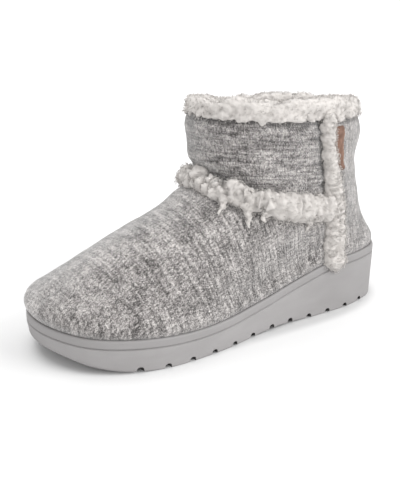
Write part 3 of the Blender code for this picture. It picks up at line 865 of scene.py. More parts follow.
def leather_finish():
    """Tan leather with a pebbled grain, darker along its edges."""
    f = Finish("tan_leather", Roughness=0.5, Specular_IOR_Level=0.4)
    where = f.place()
    pebble = f.cells(where, 1300.0)
    pores = f.noise(where, 2800.0, 2.0, 0.6)
    tone = f.noise(where, 240.0, 3.0, 0.6)
    colour = f.blend(tone.between(0.25, 0.75), *LEATHER_TONES)
    colour = f.blend(f.value("shade") * 0.7, colour, LEATHER_EDGE)
    rough = tone * 0.2 + 0.42
    return f.wear(Base_Color=colour, Roughness=rough, Normal=f.relief(pebble * 0.6 + pores * 0.4, 0.00012))


def thread_finish():
    f = Finish("sewing_thread", Roughness=0.7, Sheen_Weight=0.2)
    where = f.place()
    twist = f.noise(f.stretched(where, (900.0, 900.0, 2400.0)), 1.0, 1.0, 0.5)
    colour = f.blend(twist, *THREAD_TONES)
    return f.wear(Base_Color=colour, Normal=f.relief(twist, 0.00005))


def skin(turn_angle, height):
    """A place on the upper's plain outer face, with its normal."""
    level = level_at(turn_angle, height)
    return upper_point(turn_angle, level), upper_normal(turn_angle, level)


def fold_depth(points):
    """How far the folds sink the knit at each point."""
    depth = np.zeros(points.shape[:-1])
    for places, width, deep in FOLDS:
        turns = np.array([p[0] for p in places]) * 2 * math.pi
        heights = np.array([p[1] for p in places])
        share = np.linspace(0, len(places) - 1, 8 * len(places))
        steps = range(len(places))
        spots, _ = skin(np.interp(share, steps, turns), np.interp(share, steps, heights))
        fade = np.sin(math.pi * np.linspace(0.12, 0.88, len(share)))
        here = np.zeros_like(depth)
        for spot, strength in zip(spots, fade):
            near = bell(np.linalg.norm(points - spot, axis=-1), width) * strength
            here = np.maximum(here, near)
        depth += here * deep
    return depth


def distance_to(points, path):
    """Each point's distance to a line of points, and the nearest one's place along it."""
    best = np.full(points.shape[:-1], 9.0)
    where = np.zeros(points.shape[:-1])
    for i, spot in enumerate(path):
        apart = np.linalg.norm(points - spot, axis=-1)
        where = np.where(apart < best, i / len(path), where)
        best = np.minimum(best, apart)
    return best, where


def band_path(steps):
    """Points and normals along the ankle band, from the outer seam over the instep to the inner one."""
    angle = np.linspace(band_reach(1), band_reach(-1), steps)
    return skin(angle, band_height(angle))


def panels(points, angle, outer_seam, inner_seam):
    """Which points lie before the side seams, and which of them lie over the ankle band."""
    front = (angle < outer_seam[:, None]) & (angle > inner_seam[:, None] - 1e-6)
    return front, points[..., 2] > band_height(angle)


def knit_grain(points, along, up, angle, outer_seam, inner_seam):
    """Where each point of the knit lies in its panel: along its courses and across them. The courses run
    round the shaft, across the vamp and up the heel panel."""
    x, y, z = np.moveaxis(points, -1, 0)
    place = np.linspace(VAMP_RIDGE[0][0], VAMP_RIDGE[-1][0], 400)
    ridge = column(VAMP_RIDGE, place, 1)
    travel = np.r_[0, np.cumsum(np.hypot(np.diff(place), np.diff(ridge)))]
    over = np.hypot(y, z - np.interp(x, place, ridge)) * np.sign(y + 1e-9)
    shaft = np.stack([along, collar_line(angle) - z], axis=-1)
    vamp = np.stack([over, np.interp(x - VAMP_SLANT * (z - 0.03), place, travel)], axis=-1)
    heel = np.stack([up, along], axis=-1)
    front, above_band = panels(points, angle, outer_seam, inner_seam)
    grain = np.where(above_band[..., None], shaft, vamp)
    return np.where(front[..., None], grain, heel)


def mottle(points):
    """How much lighter each point of the knit is than the rest: heather mottles and painted light and shade.
    """
    lighter = np.zeros(points.shape[:-1])
    for turn, height, radius, change in MOTTLES_AND_PAINTED_LIGHT:
        spot, _ = skin(turn * 2 * math.pi, height)
        lighter += change * bell(np.linalg.norm(points - spot, axis=-1), radius)
    return lighter


def course_share(points, angle, outer_seam, inner_seam):
    """How far the courses show at each point: well on the shaft, less on the vamp and hardly at the toe."""
    front, above_band = panels(points, angle, outer_seam, inner_seam)
    vamp = mix(0.62, 0.22, smooth(points[..., 0], 0.000, 0.085))
    return np.where(front, np.where(above_band, 1.0, vamp), 0.40)


def knit_relief(points, angle, level):
    """How far the knit stands off the plain upper, and how much each place is darkened by what shades it."""
    sink = fold_depth(points)
    shade = np.zeros(points.shape[:-1])
    for side in (1, -1):
        seam, place = distance_to(points, strip_path(side)[0])
        beyond = np.maximum(seam - STRIP_WIDTH * 0.42, 0)
        wave = 0.5 + 0.5 * np.sin(place * 62 + side + 4 * np.sin(place * 17))
        sink += bell(beyond, 0.0040) * (0.0008 + STRIP_PUCKER * wave * 2)
        sink -= bell(beyond - 0.0065, 0.0040) * STRIP_PUCKER * (1 - wave) * 1.6
        drop = smooth(COLLAR_HEIGHT - points[..., 2], 0.004, 0.050) * (np.abs(angle) < abs(SEAM_TURN))
        line = STRIP_WIDTH * 0.52 + 0.0016 * drop + 0.0004 * np.sin(place * 150)
        shade += 0.9 * bell(np.where(drop > 0, seam - line, np.maximum(seam - line, 0)), 0.0009)
        shade += 0.35 * bell(np.maximum(seam - STRIP_WIDTH * 0.48, 0), 0.0008)
    band, _ = distance_to(points, band_path(90)[0])
    sink += BAND_TUCK * bell(np.maximum(band - BAND_WIDTH * 0.36, 0), 0.0030)
    sink -= 0.0006 * bell(band - BAND_WIDTH * 0.95, 0.0060)
    shade += 0.65 * bell(np.maximum(band - BAND_WIDTH * 0.42, 0), 0.0020)
    collar_gap = collar_line(angle) - points[..., 2]
    sink += 0.0012 * bell(collar_gap, 0.0030) - 0.0009 * bell(collar_gap - 0.0085, 0.0050)
    shade += 0.9 * bell(np.maximum(collar_gap - 0.0018, 0), 0.0015)
    rim_gap = points[..., 2] - rim_height(station(angle))
    shade += 0.45 * bell(np.maximum(rim_gap, 0), 0.0008)
    bulge = RIM_BULGE * bell(rim_gap - 0.0040, 0.0055) * smooth(rim_gap, -0.0006, 0.0007)
    bulge = bulge * mix(0.35, 1.0, smooth(points[..., 0], -0.115, -0.060))
    instep = bell(angle, 0.9) * bell(points[..., 2] - 0.074, 0.016)
    swell = 0.0006 * soft_noise(points, 0.034, 3) + 0.00035 * soft_noise(points, 0.011, 5)
    nap = 0.00012 * soft_noise(points, 0.0016, 7)
    free = smooth(level, 0.05, 0.13)
    return (KNIT_LOFT + swell + nap + instep * 0.0010 - sink) * free + bulge, np.clip(shade, 0, 1)


def make_knit(knit, lining):
    """The whole knitted upper as one shell with its lining, and its grain map measured in metres."""
    level = np.linspace(0, 1, KNIT_ROWS) ** 0.9
    height = mix(0.030, COLLAR_HEIGHT, level)
    mid = column(STRIP_LINE, np.clip((level - 0.05) / 0.95, 0, 1), 1)
    inner_seam, outer_seam = seam_angles(-1, mid, height), seam_angles(1, mid, height)
    angle = inner_seam[:, None] + full_turn(KNIT_ROUND)
    level = np.broadcast_to(level[:, None], angle.shape)
    points, normals = upper_point(angle, level), upper_normal(angle, level)
    along = np.cumsum(np.linalg.norm(np.diff(points, axis=1, prepend=points[:, :1]), axis=2), axis=1)
    up = np.cumsum(np.linalg.norm(np.diff(points, axis=0, prepend=points[:1]), axis=2), axis=0)
    for r in range(KNIT_ROWS):
        along[r] -= np.interp(outer_seam[r], angle[r], along[r])
    relief, shade = knit_relief(points, angle, level)
    outer = points + normals * relief[..., None]

    inner_level = np.linspace(1, 0, LINING_ROWS)[:, None] + np.zeros((1, KNIT_ROUND))
    inner_angle = angle[-1][None, :] + np.zeros_like(inner_level)
    inside = upper_point(inner_angle, inner_level)
    pile = LINING_PILE * puffs(inside, 0.0045, 11)
    inner = inside - upper_normal(inner_angle, inner_level) * (UPPER_WALL + pile)[..., None]

    rings = np.concatenate([outer, inner])
    uv = np.zeros((len(rings), KNIT_ROUND, 2))
    uv[:KNIT_ROWS] = knit_grain(points, along, up, angle, outer_seam, inner_seam)
    dark, courses, lighter = np.zeros((3, *rings.shape[:2]))
    dark[:KNIT_ROWS] = shade
    courses[:KNIT_ROWS] = course_share(points, angle, outer_seam, inner_seam)
    lighter[:KNIT_ROWS] = mottle(points)
    dark[KNIT_ROWS:] = (1 - pile / LINING_PILE) * 0.5
    faces = grid_faces(len(rings), KNIT_ROUND, wrap_rows=True)
    values = {"shade": dark, "courses": courses, "mottle": lighter}
    obj = surface("knit_upper", rings, faces, (knit, lining), uv, values)
    slot = np.zeros(len(faces), int)
    slot[(KNIT_ROWS - 1) * KNIT_ROUND :] = 1
    obj.data.polygons.foreach_set("material_index", slot)
    return obj


def make_fine_sole(finish, channel_shade_finish):
    """The moulded sole with rounder edges and a smooth outline, and the half-round channels cut across it,
    their insides given a darker finish as painted shade.
    """
    angle = full_turn(SOLE_ROUND)
    ahead = station(angle)
    floor, rim = floor_height(ahead), rim_height(ahead)
    undercut, edge = lower_edge(ahead)
    band, footbed = rim - RIM_BAND, rim - FOOTBED_DEPTH
    rows = [(undercut, floor)]
    for turn in np.linspace(0, 1, 9)[1:] * math.pi / 2:
        inset = SIDE_DRAFT + (undercut - SIDE_DRAFT) * (1 - np.sin(turn)) ** 1.15
        rows.append((inset, floor + edge * (1 - np.cos(turn))))
    for share in (0.35, 0.7, 0.93):
        rows.append((SIDE_DRAFT * (1 - share), mix(floor + edge, band - RIM_GROOVE * 0.8, share)))
    for drop, deep in ((-0.7, 0.05), (-0.35, 0.45), (-0.12, 0.95), (0.12, 1.0), (0.35, 0.5), (0.7, 0.0)):
        rows.append((RIM_GROOVE * deep + 0 * band, band + RIM_GROOVE * drop))
    rows.append((0 * band, rim - RIM_ROUND * 1.6))
    for turn in np.linspace(0, 1, 6) * math.pi / 2:
        rows.append((RIM_ROUND * (1 - np.cos(turn)), rim - RIM_ROUND * (1 - np.sin(turn))))
    for turn in np.linspace(0, 1, 4) * math.pi / 2:
        inset = RIM_WIDTH - RIM_ROUND * 0.5 * (1 - np.sin(turn))
        rows.append((inset, rim - RIM_ROUND * 0.5 * (1 - np.cos(turn))))
    rows.append((RIM_WIDTH, footbed))
    rings = []
    for inset, height in rows:
        x, y = last_outline(angle, inset)
        rings.append(np.stack([x, y, height + 0 * x], axis=-1))
    sole = surface("fine_sole", rings, tube_faces(len(rings), SOLE_ROUND))

    shape = bmesh.new()
    channels = []
    for k in range(TREAD_CHANNELS):
        x = SOLE_LENGTH / 2 - TREAD_FIRST_SETBACK - k * TREAD_PITCH
        base = float(floor_height(x / SOLE_LENGTH + 0.5))
        channels.append((x, base))
        profile = [(x + TREAD_CHANNEL_WIDTH / 2, base - TREAD_CHANNEL_DEPTH)]
        for turn in np.linspace(0, math.pi, 17):
            lift = TREAD_CHANNEL_DEPTH * math.sin(turn) ** TREAD_CHANNEL_ROUNDNESS
            profile.append((x + TREAD_CHANNEL_WIDTH / 2 * math.cos(turn), base + lift))
        profile.append((x - TREAD_CHANNEL_WIDTH / 2, base - TREAD_CHANNEL_DEPTH))
        ends = [[shape.verts.new((px, y, pz)) for px, pz in profile] for y in (-BALL_WIDTH, BALL_WIDTH)]
        shape.faces.new(ends[0])
        shape.faces.new(ends[1][::-1])
        for i in range(len(profile)):
            j = (i + 1) % len(profile)
            shape.faces.new((ends[0][i], ends[1][i], ends[1][j], ends[0][j]))
    bmesh.ops.recalc_face_normals(shape, faces=shape.faces)
    mesh = bpy.data.meshes.new("channel_bars")
    shape.to_mesh(mesh)
    shape.free()
    bars = link_object("channel_bars", mesh)
    cut = sole.modifiers.new("channels", "BOOLEAN")
    cut.operation, cut.solver, cut.object = "DIFFERENCE", "EXACT", bars
    finished = settle(sole)
    bpy.data.objects.remove(bars, do_unlink=True)
    finished.data.materials.clear()
    finished.data.materials.append(finish)
    finished.data.materials.append(channel_shade_finish)
    finished.data.set_sharp_from_angle(angle=math.radians(38))
    faces = finished.data.polygons
    middles, spots = numbers_of(faces, "center"), numbers_of(finished.data.vertices, "co")
    inside, across = np.zeros(len(faces), int), np.abs(numbers_of(faces, "normal")[:, 1]) < 0.2
    for x, base in channels:
        height = (middles[:, 2] - base) / TREAD_CHANNEL_DEPTH
        inside |= (np.abs(middles[:, 0] - x) <= TREAD_CHANNEL_WIDTH * 0.501) & (height < 1.01) & across
    # the channels' insides take the painted shade finish
    faces.foreach_set("material_index", inside)
    # marks the rim band above the groove for its painted shade
    over = smooth(spots[:, 2] - rim_height(spots[:, 0] / SOLE_LENGTH + 0.5) + RIM_BAND, -0.0004, 0.0004)
    finished.data.attributes.new("rim", "FLOAT", "POINT").data.foreach_set("value", over)
    return finished


def settle(obj):
    """Turns an object with modifiers into a plain mesh."""
    seen = obj.evaluated_get(bpy.context.evaluated_depsgraph_get())
    mesh = bpy.data.meshes.new_from_object(seen)
    mesh.name = obj.name
    obj.modifiers.clear()
    old, obj.data = obj.data, mesh
    bpy.data.meshes.remove(old)
    return obj


def curl_mesh(name, turn, lean, width, seed):
    """One short curl: a bent, tapering fibre of unit size that leaves the skin and bends back to it."""
    t = np.linspace(0, 1, 5)
    aside = lean * t * (1 - t) * 2 / max(turn * 0.5, 1)
    centre = np.stack([np.sin(t * turn) * 0.45, aside, np.sin(t * math.pi * 0.62) * 0.95 - 0.12], axis=-1)
    points, faces = [centre[0]], []
    for i in (1, 2, 3):
        size = width * (1.0, 1.15, 0.8)[i - 1]
        for k in range(3):
            a = k * 2 * math.pi / 3 + seed
            points.append(centre[i] + size * np.array([math.cos(a) * 0.7, math.sin(a), math.cos(a) * 0.7]))
    points.append(centre[4])
    for k in range(3):
        j = (k + 1) % 3
        faces.append((0, 1 + j, 1 + k))
        for r in (0, 1):
            a, b = 1 + 3 * r, 4 + 3 * r
            faces.append((a + k, a + j, b + j, b + k))
        faces.append((7 + k, 7 + j, 10))
    return surface(name, points, faces)


def fur_tree():
    """A node tree that spreads curls over a piece's skin and joins them to it."""
    tree = bpy.data.node_groups.new("spread_curls", "GeometryNodeTree")
    put = tree.interface.new_socket
    kinds = {"Geometry": "Geometry", "Density": "Float", "Length": "Float", "Lean": "Float", "Seed": "Int",
             "Curl": "Object", "Second curl": "Object", "Finish": "Material"}
    for name, kind in kinds.items():
        put(name, in_out="INPUT", socket_type="NodeSocket" + kind)
    put("Geometry", in_out="OUTPUT", socket_type="NodeSocketGeometry")
    add = partial(add_node, tree)
    given = tree.nodes.new("NodeGroupInput").outputs
    instances = []
    for number, name in enumerate(("Curl", "Second curl")):
        seed = add("ShaderNodeMath", (given["Seed"], 13.0 * number))
        spread = add(
            "GeometryNodeDistributePointsOnFaces",
            {"Mesh": given["Geometry"], "Density": given["Density"], "Seed": seed},
        ).node.outputs
        source = add("GeometryNodeObjectInfo", {"Object": given[name]}, "Geometry")
        less = add("ShaderNodeMath", (given["Lean"], -1.0), operation="MULTIPLY")
        low = add("ShaderNodeCombineXYZ", (less, less))
        high = add("ShaderNodeCombineXYZ", (given["Lean"], given["Lean"], 2 * math.pi))
        turn = add("FunctionNodeRandomValue", {0: low, 1: high, "Seed": seed}, data_type="FLOAT_VECTOR")
        turn = add("FunctionNodeEulerToRotation", (turn,))
        aim = add("FunctionNodeRotateRotation", (spread["Rotation"], turn), rotation_space="LOCAL")
        size = add("FunctionNodeRandomValue", {2: 0.65, 3: 1.25, "Seed": seed}, 1)
        scale = add("ShaderNodeMath", (size, given["Length"]), operation="MULTIPLY")
        instances.append(add(
            "GeometryNodeInstanceOnPoints",
            {"Points": spread["Points"], "Instance": source, "Rotation": aim, "Scale": scale},
        ))
    joined = add("GeometryNodeJoinGeometry", (instances[0],))
    tree.links.new(instances[1], joined.node.inputs[0])
    real = add("GeometryNodeRealizeInstances", (joined,))
    dressed = add("GeometryNodeSetMaterial", {"Geometry": real, "Material": given["Finish"]})
    both = add("GeometryNodeJoinGeometry", (dressed,))
    tree.links.new(given["Geometry"], both.node.inputs[0])
    tree.links.new(both, tree.nodes.new("NodeGroupOutput").inputs[0])
    return tree


def furred(name, points, faces, shade, finish, count, seed, length=CURL_LENGTH):
    """A fleece piece that is covered with about that many curls."""
    obj = surface(name, points, faces, (finish,), None, {"shade": shade})
    area = sum(p.area for p in obj.data.polygons)
    modifier = obj.modifiers.new("curls", "NODES")
    modifier.node_group = curl_tree
    values = {
        "Density": count / 2 / area, "Length": length, "Lean": CURL_LEAN, "Seed": seed,
        "Curl": curl_shapes[0], "Second curl": curl_shapes[1], "Finish": finish,
    }
    for socket in curl_tree.interface.items_tree:
        if socket.in_out == "INPUT" and socket.name in values:
            modifier[socket.identifier] = values[socket.name]
    return settle(obj)


def fluffed(points, normals, seed, big, big_height, small_height, fine_height=0.0004):
    """Points pushed out into puffs, curls and fine fluff, with how deep each lies between two curls, which
    the pieces use as painted shade.
    """
    bend = 0.0018 * np.stack([soft_noise(points, 0.007, seed + k) for k in range(3)], axis=-1)
    lumps = puffs(points + bend, big, seed + 5)
    curls = puffs(points + bend * 0.6, CURL_SIZE, seed + 9)
    fine = soft_noise(points, 0.0022, seed + 13) * 0.6 + soft_noise(points, 0.0013, seed + 14)
    height = (lumps - 0.7) * big_height + (curls - 0.5) * small_height + fine * fine_height
    depth = np.clip(1.0 - lumps * 0.8 - curls * 0.35, 0, 1)
    return points + normals * height[..., None], depth


def fine_collar():
    """Grid of points over the collar roll, with its lower outer edge drooping over the knit."""
    angle = full_turn(COLLAR_ROUND)
    turn = angle / (2 * math.pi)
    sx, sy = shaft_oval(angle)
    normal = unit(upper_normal(angle, 1.0) * (1, 1, 0))
    base = collar_line(angle)
    height = FLEECE_COLLAR_HEIGHT * (1 + column(COLLAR_ROLL, turn, 1)) + COLLAR_SLACK * (np.sin(angle) - 0.1)
    middle = FLEECE_COLLAR_OVERHANG - FLEECE_COLLAR_THICKNESS / 2
    turns = full_turn(COLLAR_TURN_POINTS)
    out = np.sign(np.cos(turns)) * np.abs(np.cos(turns)) ** 0.8
    up = np.sign(np.sin(turns)) * np.abs(np.sin(turns)) ** 0.8
    across = middle + out[None, :] * (FLEECE_COLLAR_THICKNESS / 2 - COLLAR_SLACK * 0.6)
    lift = base[:, None] + height[:, None] * (0.5 + 0.5 * up[None, :])
    droop = smooth(out, 0.25, 0.95) * smooth(-up, -0.1, 0.9)
    hang = 0.0026 + 0.0011 * np.sin(angle * 23 + 2 * np.sin(angle * 7)) + 0.0030 * bell(turn - 0.150, 0.006)
    lift = lift - droop[None, :] * hang[:, None]
    across = across + droop[None, :] * 0.0014
    grid = np.stack([sx, sy, 0 * sx], axis=-1)[:, None, :] + across[..., None] * normal[:, None, :]
    grid[..., 2] = lift
    return grid


def tube_grid(path, normals, widths, heights, depth, columns):
    """Grid of points round a soft roll that lies on the skin along a path."""
    sides = unit(np.cross(unit(np.gradient(path, axis=0)), normals))
    turns = full_turn(columns)
    across = np.cos(turns)[None, :] * widths[:, None] / 2
    out = np.where(np.sin(turns)[None, :] > 0, heights[:, None], depth) * np.sin(turns)[None, :]
    return path[:, None, :] + across[..., None] * sides[:, None, :] + out[..., None] * normals[:, None, :]


def outward_normals(grid, wrap_rows=False):
    """Normals of a tube's grid of points, pointing away from its middle."""
    along = np.roll(grid, -1, 0) - np.roll(grid, 1, 0) if wrap_rows else np.gradient(grid, axis=0)
    normals = np.cross(np.roll(grid, -1, 1) - np.roll(grid, 1, 1), along)
    normals /= np.maximum(np.linalg.norm(normals, axis=-1, keepdims=True), 1e-12)
    return normals * np.sign(np.sum(normals * (grid - grid.mean(axis=1, keepdims=True))))


def make_fleece_collar(finish):
    grid = fine_collar()
    normals = outward_normals(grid, True)
    crease = np.zeros(grid.shape[:2])
    for side in (1, -1):
        top = strip_path(side)[0][0]
        apart = np.linalg.norm((grid - top)[..., :2], axis=-1)
        crease = np.maximum(crease, bell(apart - 0.0082, 0.0016) * (grid[..., 2] < COLLAR_HEIGHT + 0.0085))
    grid = grid - normals * (crease * 0.0012)[..., None]
    grid, depth = fluffed(grid, normals, 31, 0.0120, 0.0026, 0.0008)
    # painted shade in the creases where the strips meet the collar
    depth = np.clip(depth + crease * 0.5, 0, 1)
    faces = grid_faces(*grid.shape[:2], wrap_rows=True)
    return furred("collar_fleece", grid, faces, depth, finish, COLLAR_CURLS, 3)


def laid(values, travel, spots):
    """A path's points or normals at other distances along it."""
    return np.stack([np.interp(spots, travel, values[:, k]) for k in range(3)], axis=-1)


def resample(path, normals, step=TRIM_STEP):
    travel = np.r_[0, np.cumsum(np.linalg.norm(np.diff(path, axis=0), axis=1))]
    spots = np.linspace(0, travel[-1], max(8, round(travel[-1] / step)))
    return laid(path, travel, spots), unit(laid(normals, travel, spots)), spots


def make_strip_fleece(name, side, finish):
    """A side strip: it grows out of the collar, is twisted half way down and ends rounded over the rim."""
    path, normals = strip_path(side)
    above = np.linspace(STRIP_RISE, 0, 8)[:-1, None]
    outwards = normals[0] * (1, 1, 0)
    lead = path[0] + above * (0, 0, 1) + outwards * FLEECE_COLLAR_OVERHANG * 0.9
    path = np.concatenate([lead, path])
    normals = np.concatenate([np.repeat(normals[:1], len(lead), axis=0), normals])
    path, normals, travel = resample(path, normals)
    share = travel / travel[-1]
    swell = 0.90 + 0.10 * np.abs(np.sin(math.pi * travel / STRIP_PITCH + 2 * np.sin(travel * 90))) ** 0.6
    swell = swell * end_taper(share)
    widths = STRIP_WIDTH * swell * (0.86 + 0.66 * smooth(share, 0.05, 0.85))
    heights = STRIP_THICKNESS * swell * (0.80 + 0.20 * smooth(share, 0.2, 0.9))
    grid = tube_grid(path, normals, widths, heights, RIM_WIDTH / 2, STRIP_TURN_POINTS)
    outward = outward_normals(grid)
    around = full_turn(STRIP_TURN_POINTS)
    phase = travel * 1500 + 2.6 * np.sin(travel * 150)
    twist = np.sin(phase[:, None] + np.cos(around)[None, :] * 1.8)
    folded = 0.00025 + 0.0004 * bell(share - 0.50, 0.17)[:, None]
    push = twist * folded * np.clip(np.sin(around), 0, 1) * end_taper(share)[:, None]
    grid = grid + outward * push[..., None]
    grid, depth = fluffed(grid, outward, 51 + side, 0.0085, 0.0015, 0.0013)
    # painted shade: in the twisted folds, darker near the collar and lighter towards the lower end
    depth = (depth * 0.8 - twist * folded * 220) * mix(1.0, 0.30, share)[:, None]
    depth = np.clip(depth + mix(0.16, -0.05, share)[:, None], 0, 1)
    return furred(name, grid, tube_faces(*depth.shape), depth, finish, STRIP_CURLS, 5 + side)


def lock_grid(turn, length, lean, count=26):
    """One loose lock as a tapering, slightly twisted tube that hangs down the skin."""
    angle = turn * 2 * math.pi
    if angle > math.pi:
        angle -= 2 * math.pi
    top = float(band_height(angle)) - BAND_WIDTH * 0.2
    drop = BAND_WIDTH * (0.3 + length)
    share = np.linspace(0, 1, count)
    sway = 0.012 * np.sin(share * 7.0 + turn * 40) * share
    points, normals = skin(angle + lean * share * 2 * math.pi + sway, top - drop * share)
    points = points + normals * LOCK_RADIUS * mix(0.8, 0.35, share)[:, None]
    size = LOCK_RADIUS * 2.2 * mix(1.15, 0.22, share**0.75) * (0.86 + 0.14 * np.sin(share * 17 + turn * 50))
    return tube_grid(points, normals, size, size / 2, LOCK_RADIUS * 0.6, LOCK_TURN_POINTS)


def make_band_fleece(finish):
    """The ankle band: round balls over the instep, broader ribs towards the seams, and its loose locks."""
    path, normals, travel = resample(*band_path(240))
    from_seam = np.minimum(travel, travel[-1] - travel)
    ball = smooth(from_seam, 0.030, 0.085)
    phase = math.pi * (travel + 0.0020 * np.sin(travel * 190) + 0.0009 * np.sin(travel * 530)) / BAND_PITCH
    ribs = np.abs(np.sin(phase)) ** 0.7
    number = np.floor(phase / math.pi)
    offset = (np.modf(np.abs(np.sin(number * 12.9898)) * 43758.5453)[0] - 0.5) * ribs
    widths = mix(0.98, 0.74, ball) + mix(0.10, 0.24, ball) * ribs + mix(0.10, 0.16, ball) * offset
    widths = BAND_WIDTH * widths * mix(1.10, 0.92, ball)
    heights = BAND_THICKNESS * (mix(0.74, 0.54, ball) + mix(0.12, 0.34, ball) * ribs + 0.16 * offset)
    sides = np.cross(unit(np.gradient(path, axis=0)), normals)
    path = path + sides * (offset * 0.0040 * ball)[:, None]
    grid = tube_grid(path, normals, widths, heights, UPPER_WALL * 0.8, BAND_TURN_POINTS)
    outward = outward_normals(grid)
    grid, depth = fluffed(grid, outward, 77, 0.0068, mix(0.0015, 0.0036, ball)[:, None], 0.0013)
    # painted shade in the creases between the band's balls and ribs
    crease_shade = (1 - ribs) * mix(0.30, 0.75, ball)
    depth = np.clip(depth * mix(0.7, 1.35, ball)[:, None] + crease_shade[:, None], 0, 1)
    points, shades, faces = [grid.reshape(-1, 3)], [depth.ravel()], tube_faces(*depth.shape)
    start = depth.size
    for count, row in enumerate(LOCKS):
        lock = lock_grid(*row)
        lock, dark = fluffed(lock, outward_normals(lock), 90 + count, 0.004, 0.0010, 0.0008, 0.0005)
        faces += tube_faces(*dark.shape, start)
        points.append(lock.reshape(-1, 3))
        shades.append(dark.ravel() * 0.6)
        start += dark.size
    points, shade = np.concatenate(points), np.concatenate(shades)
    return furred("band_fleece", points, faces, shade, finish, BAND_CURLS, 9, CURL_LENGTH * 1.05)


def make_footbed(finish):
    """The padded insole with its short pile, filling the upper's lower edge."""
    angle = full_turn(FOOTBED_ROUND)
    base = feather_height(angle)
    inset = RIM_WIDTH + UPPER_WALL + 4 * PIECE_GAP
    rings = [np.stack([*last_outline(angle, inset), base], axis=-1)]
    for turn in np.linspace(0, math.pi / 2, 6):
        x, y = last_outline(angle, inset + INSOLE_THICKNESS * 0.35 * (1 - np.cos(turn)))
        height = INSOLE_THICKNESS * (0.65 + 0.35 * np.sin(turn))
        rings.append(np.stack([x, y, base + height], axis=-1))
    rim = rings[-1]
    spine_x = np.clip(rim[:, 0], -0.088, 0.085)
    spine = np.stack([spine_x, 0.004 + 0 * spine_x, rim_height(spine_x / SOLE_LENGTH + 0.5)], axis=-1)
    spine[:, 2] += PIECE_GAP + INSOLE_THICKNESS - FOOTBED_DEPTH
    top = [mix(rim, spine, share) for share in np.linspace(0, 1, 26)[1:-1]]
    for ring in top:
        ring[:, 2] += 0.0006 * puffs(ring, 0.0060, 21) + 0.0003 * soft_noise(ring, 0.003, 22)
    rings += top
    faces, shade = tube_faces(len(rings), FOOTBED_ROUND), np.full((len(rings), FOOTBED_ROUND), 0.2)
    return furred("padded_footbed", rings, faces, shade, finish, FOOTBED_CURLS, 15)


def make_leather_tab(leather, thread):
    """The blank tab on the heel panel, with rounded corners and a line of stitches."""
    rows, columns = 25, 13
    heights = COLLAR_HEIGHT - BADGE_DROP - np.linspace(0, BADGE_HEIGHT, rows)
    seam = float(seam_angles(1, STRIP_LINE[-1][1], heights[0]))
    turn = 0.01
    girth = np.linalg.norm(upper_point(seam + turn, 1.0) - upper_point(seam - turn, 1.0)) / (2 * turn)
    across = np.linspace(0, 1, columns)
    grid, lift = [], []
    for height in heights:
        from_end = min(height - heights[-1], heights[0] - height)
        pull = TAB_CORNER - math.sqrt(max(TAB_CORNER**2 - max(TAB_CORNER - from_end, 0) ** 2, 0))
        angles = seam + (STRIP_WIDTH / 2 - 0.001 + across * (BADGE_WIDTH - pull + 0.001)) / girth
        points, normals = skin(angles, height)
        relief = knit_relief(points, angles, level_at(angles, height))[0]
        grid.append(points + normals * relief[:, None])
        lift.append(normals)
    grid, lift = np.array(grid), np.array(lift)
    edge = np.minimum.outer(np.minimum(np.arange(rows), np.arange(rows)[::-1]) / 3.0, np.ones(columns))
    edge = np.clip(np.minimum(edge, (np.arange(columns)[::-1] / 2.0)[None, :]), 0, 1)
    top = grid + lift * (0.0004 + 0.0009 * np.sqrt(edge))[..., None]
    bottom = grid - lift * 0.0012
    points = np.concatenate([top.reshape(-1, 3), bottom.reshape(-1, 3)])
    faces = grid_faces(rows, columns, wrap_columns=False)
    below = [tuple(i + rows * columns for i in f[::-1]) for f in faces]
    ring = list(range(columns)) + [r * columns + columns - 1 for r in range(1, rows)]
    ring += [(rows - 1) * columns + c for c in range(columns - 2, -1, -1)]
    ring += [r * columns for r in range(rows - 2, 0, -1)]
    after = ring[1:] + ring[:1]
    side = [(a, b, b + rows * columns, a + rows * columns) for a, b in zip(ring, after)]
    shade = np.r_[(1 - edge).ravel() * 0.8, np.full(rows * columns, 0.6)]
    obj = surface("leather_tab", points, faces + below + side, (leather,), None, {"shade": shade})

    path, normals, travel = resample(grid[2:-2, columns - 3], lift[2:-2, columns - 3], TAB_STITCH_GAP / 2)
    pieces, faces, pitch = [], [], TAB_STITCH + TAB_STITCH_GAP
    for k in range(int(travel[-1] / pitch)):
        spots = np.linspace(k * pitch, k * pitch + TAB_STITCH, 5)
        spine, up = laid(path, travel, spots), laid(normals, travel, spots)
        arch = np.sin(np.linspace(0, math.pi, 5))
        spine = spine + up * (0.0012 + 0.00018 * arch)[:, None]
        size = THREAD_WIDTH * (0.55 + 0.45 * arch)
        pieces.append(tube_grid(spine, up, size, size / 2, 0.0002, 6).reshape(-1, 3))
        faces += tube_faces(5, 6, 30 * k)
    return obj, surface("tab_stitches", np.concatenate(pieces), faces, (thread,))


def aim_camera():
    """The camera fitted to the sole's outline, its channels and the collar."""
    azimuth, elevation, roll = map(math.radians, (CAMERA_TURN, CAMERA_RISE, CAMERA_ROLL))
    back = Vector((math.sin(azimuth) * math.cos(elevation), math.cos(azimuth) * math.cos(elevation),
                   math.sin(elevation)))
    right = (-back).cross(Vector((0, 0, 1))).normalized()
    up = right.cross(-back)
    x = right * math.cos(roll) + up * math.sin(roll)
    y = -right * math.sin(roll) + up * math.cos(roll)
    turned = Matrix((x, y, back)).transposed().to_4x4()
    turned.translation = Vector((0, 0, CAMERA_AIM_HEIGHT)) + back * CAMERA_DISTANCE
    data = bpy.data.cameras.new("camera")
    data.sensor_width = SENSOR
    data.sensor_fit = "AUTO"
    data.lens = FOCAL_PIXELS * SENSOR / PHOTO_HEIGHT
    data.shift_x, data.shift_y = (shift / PHOTO_HEIGHT for shift in CAMERA_SHIFT)
    data.clip_start = 0.01
    camera = link_object("camera", data)
    camera.matrix_world = turned
    bpy.context.scene.camera = camera


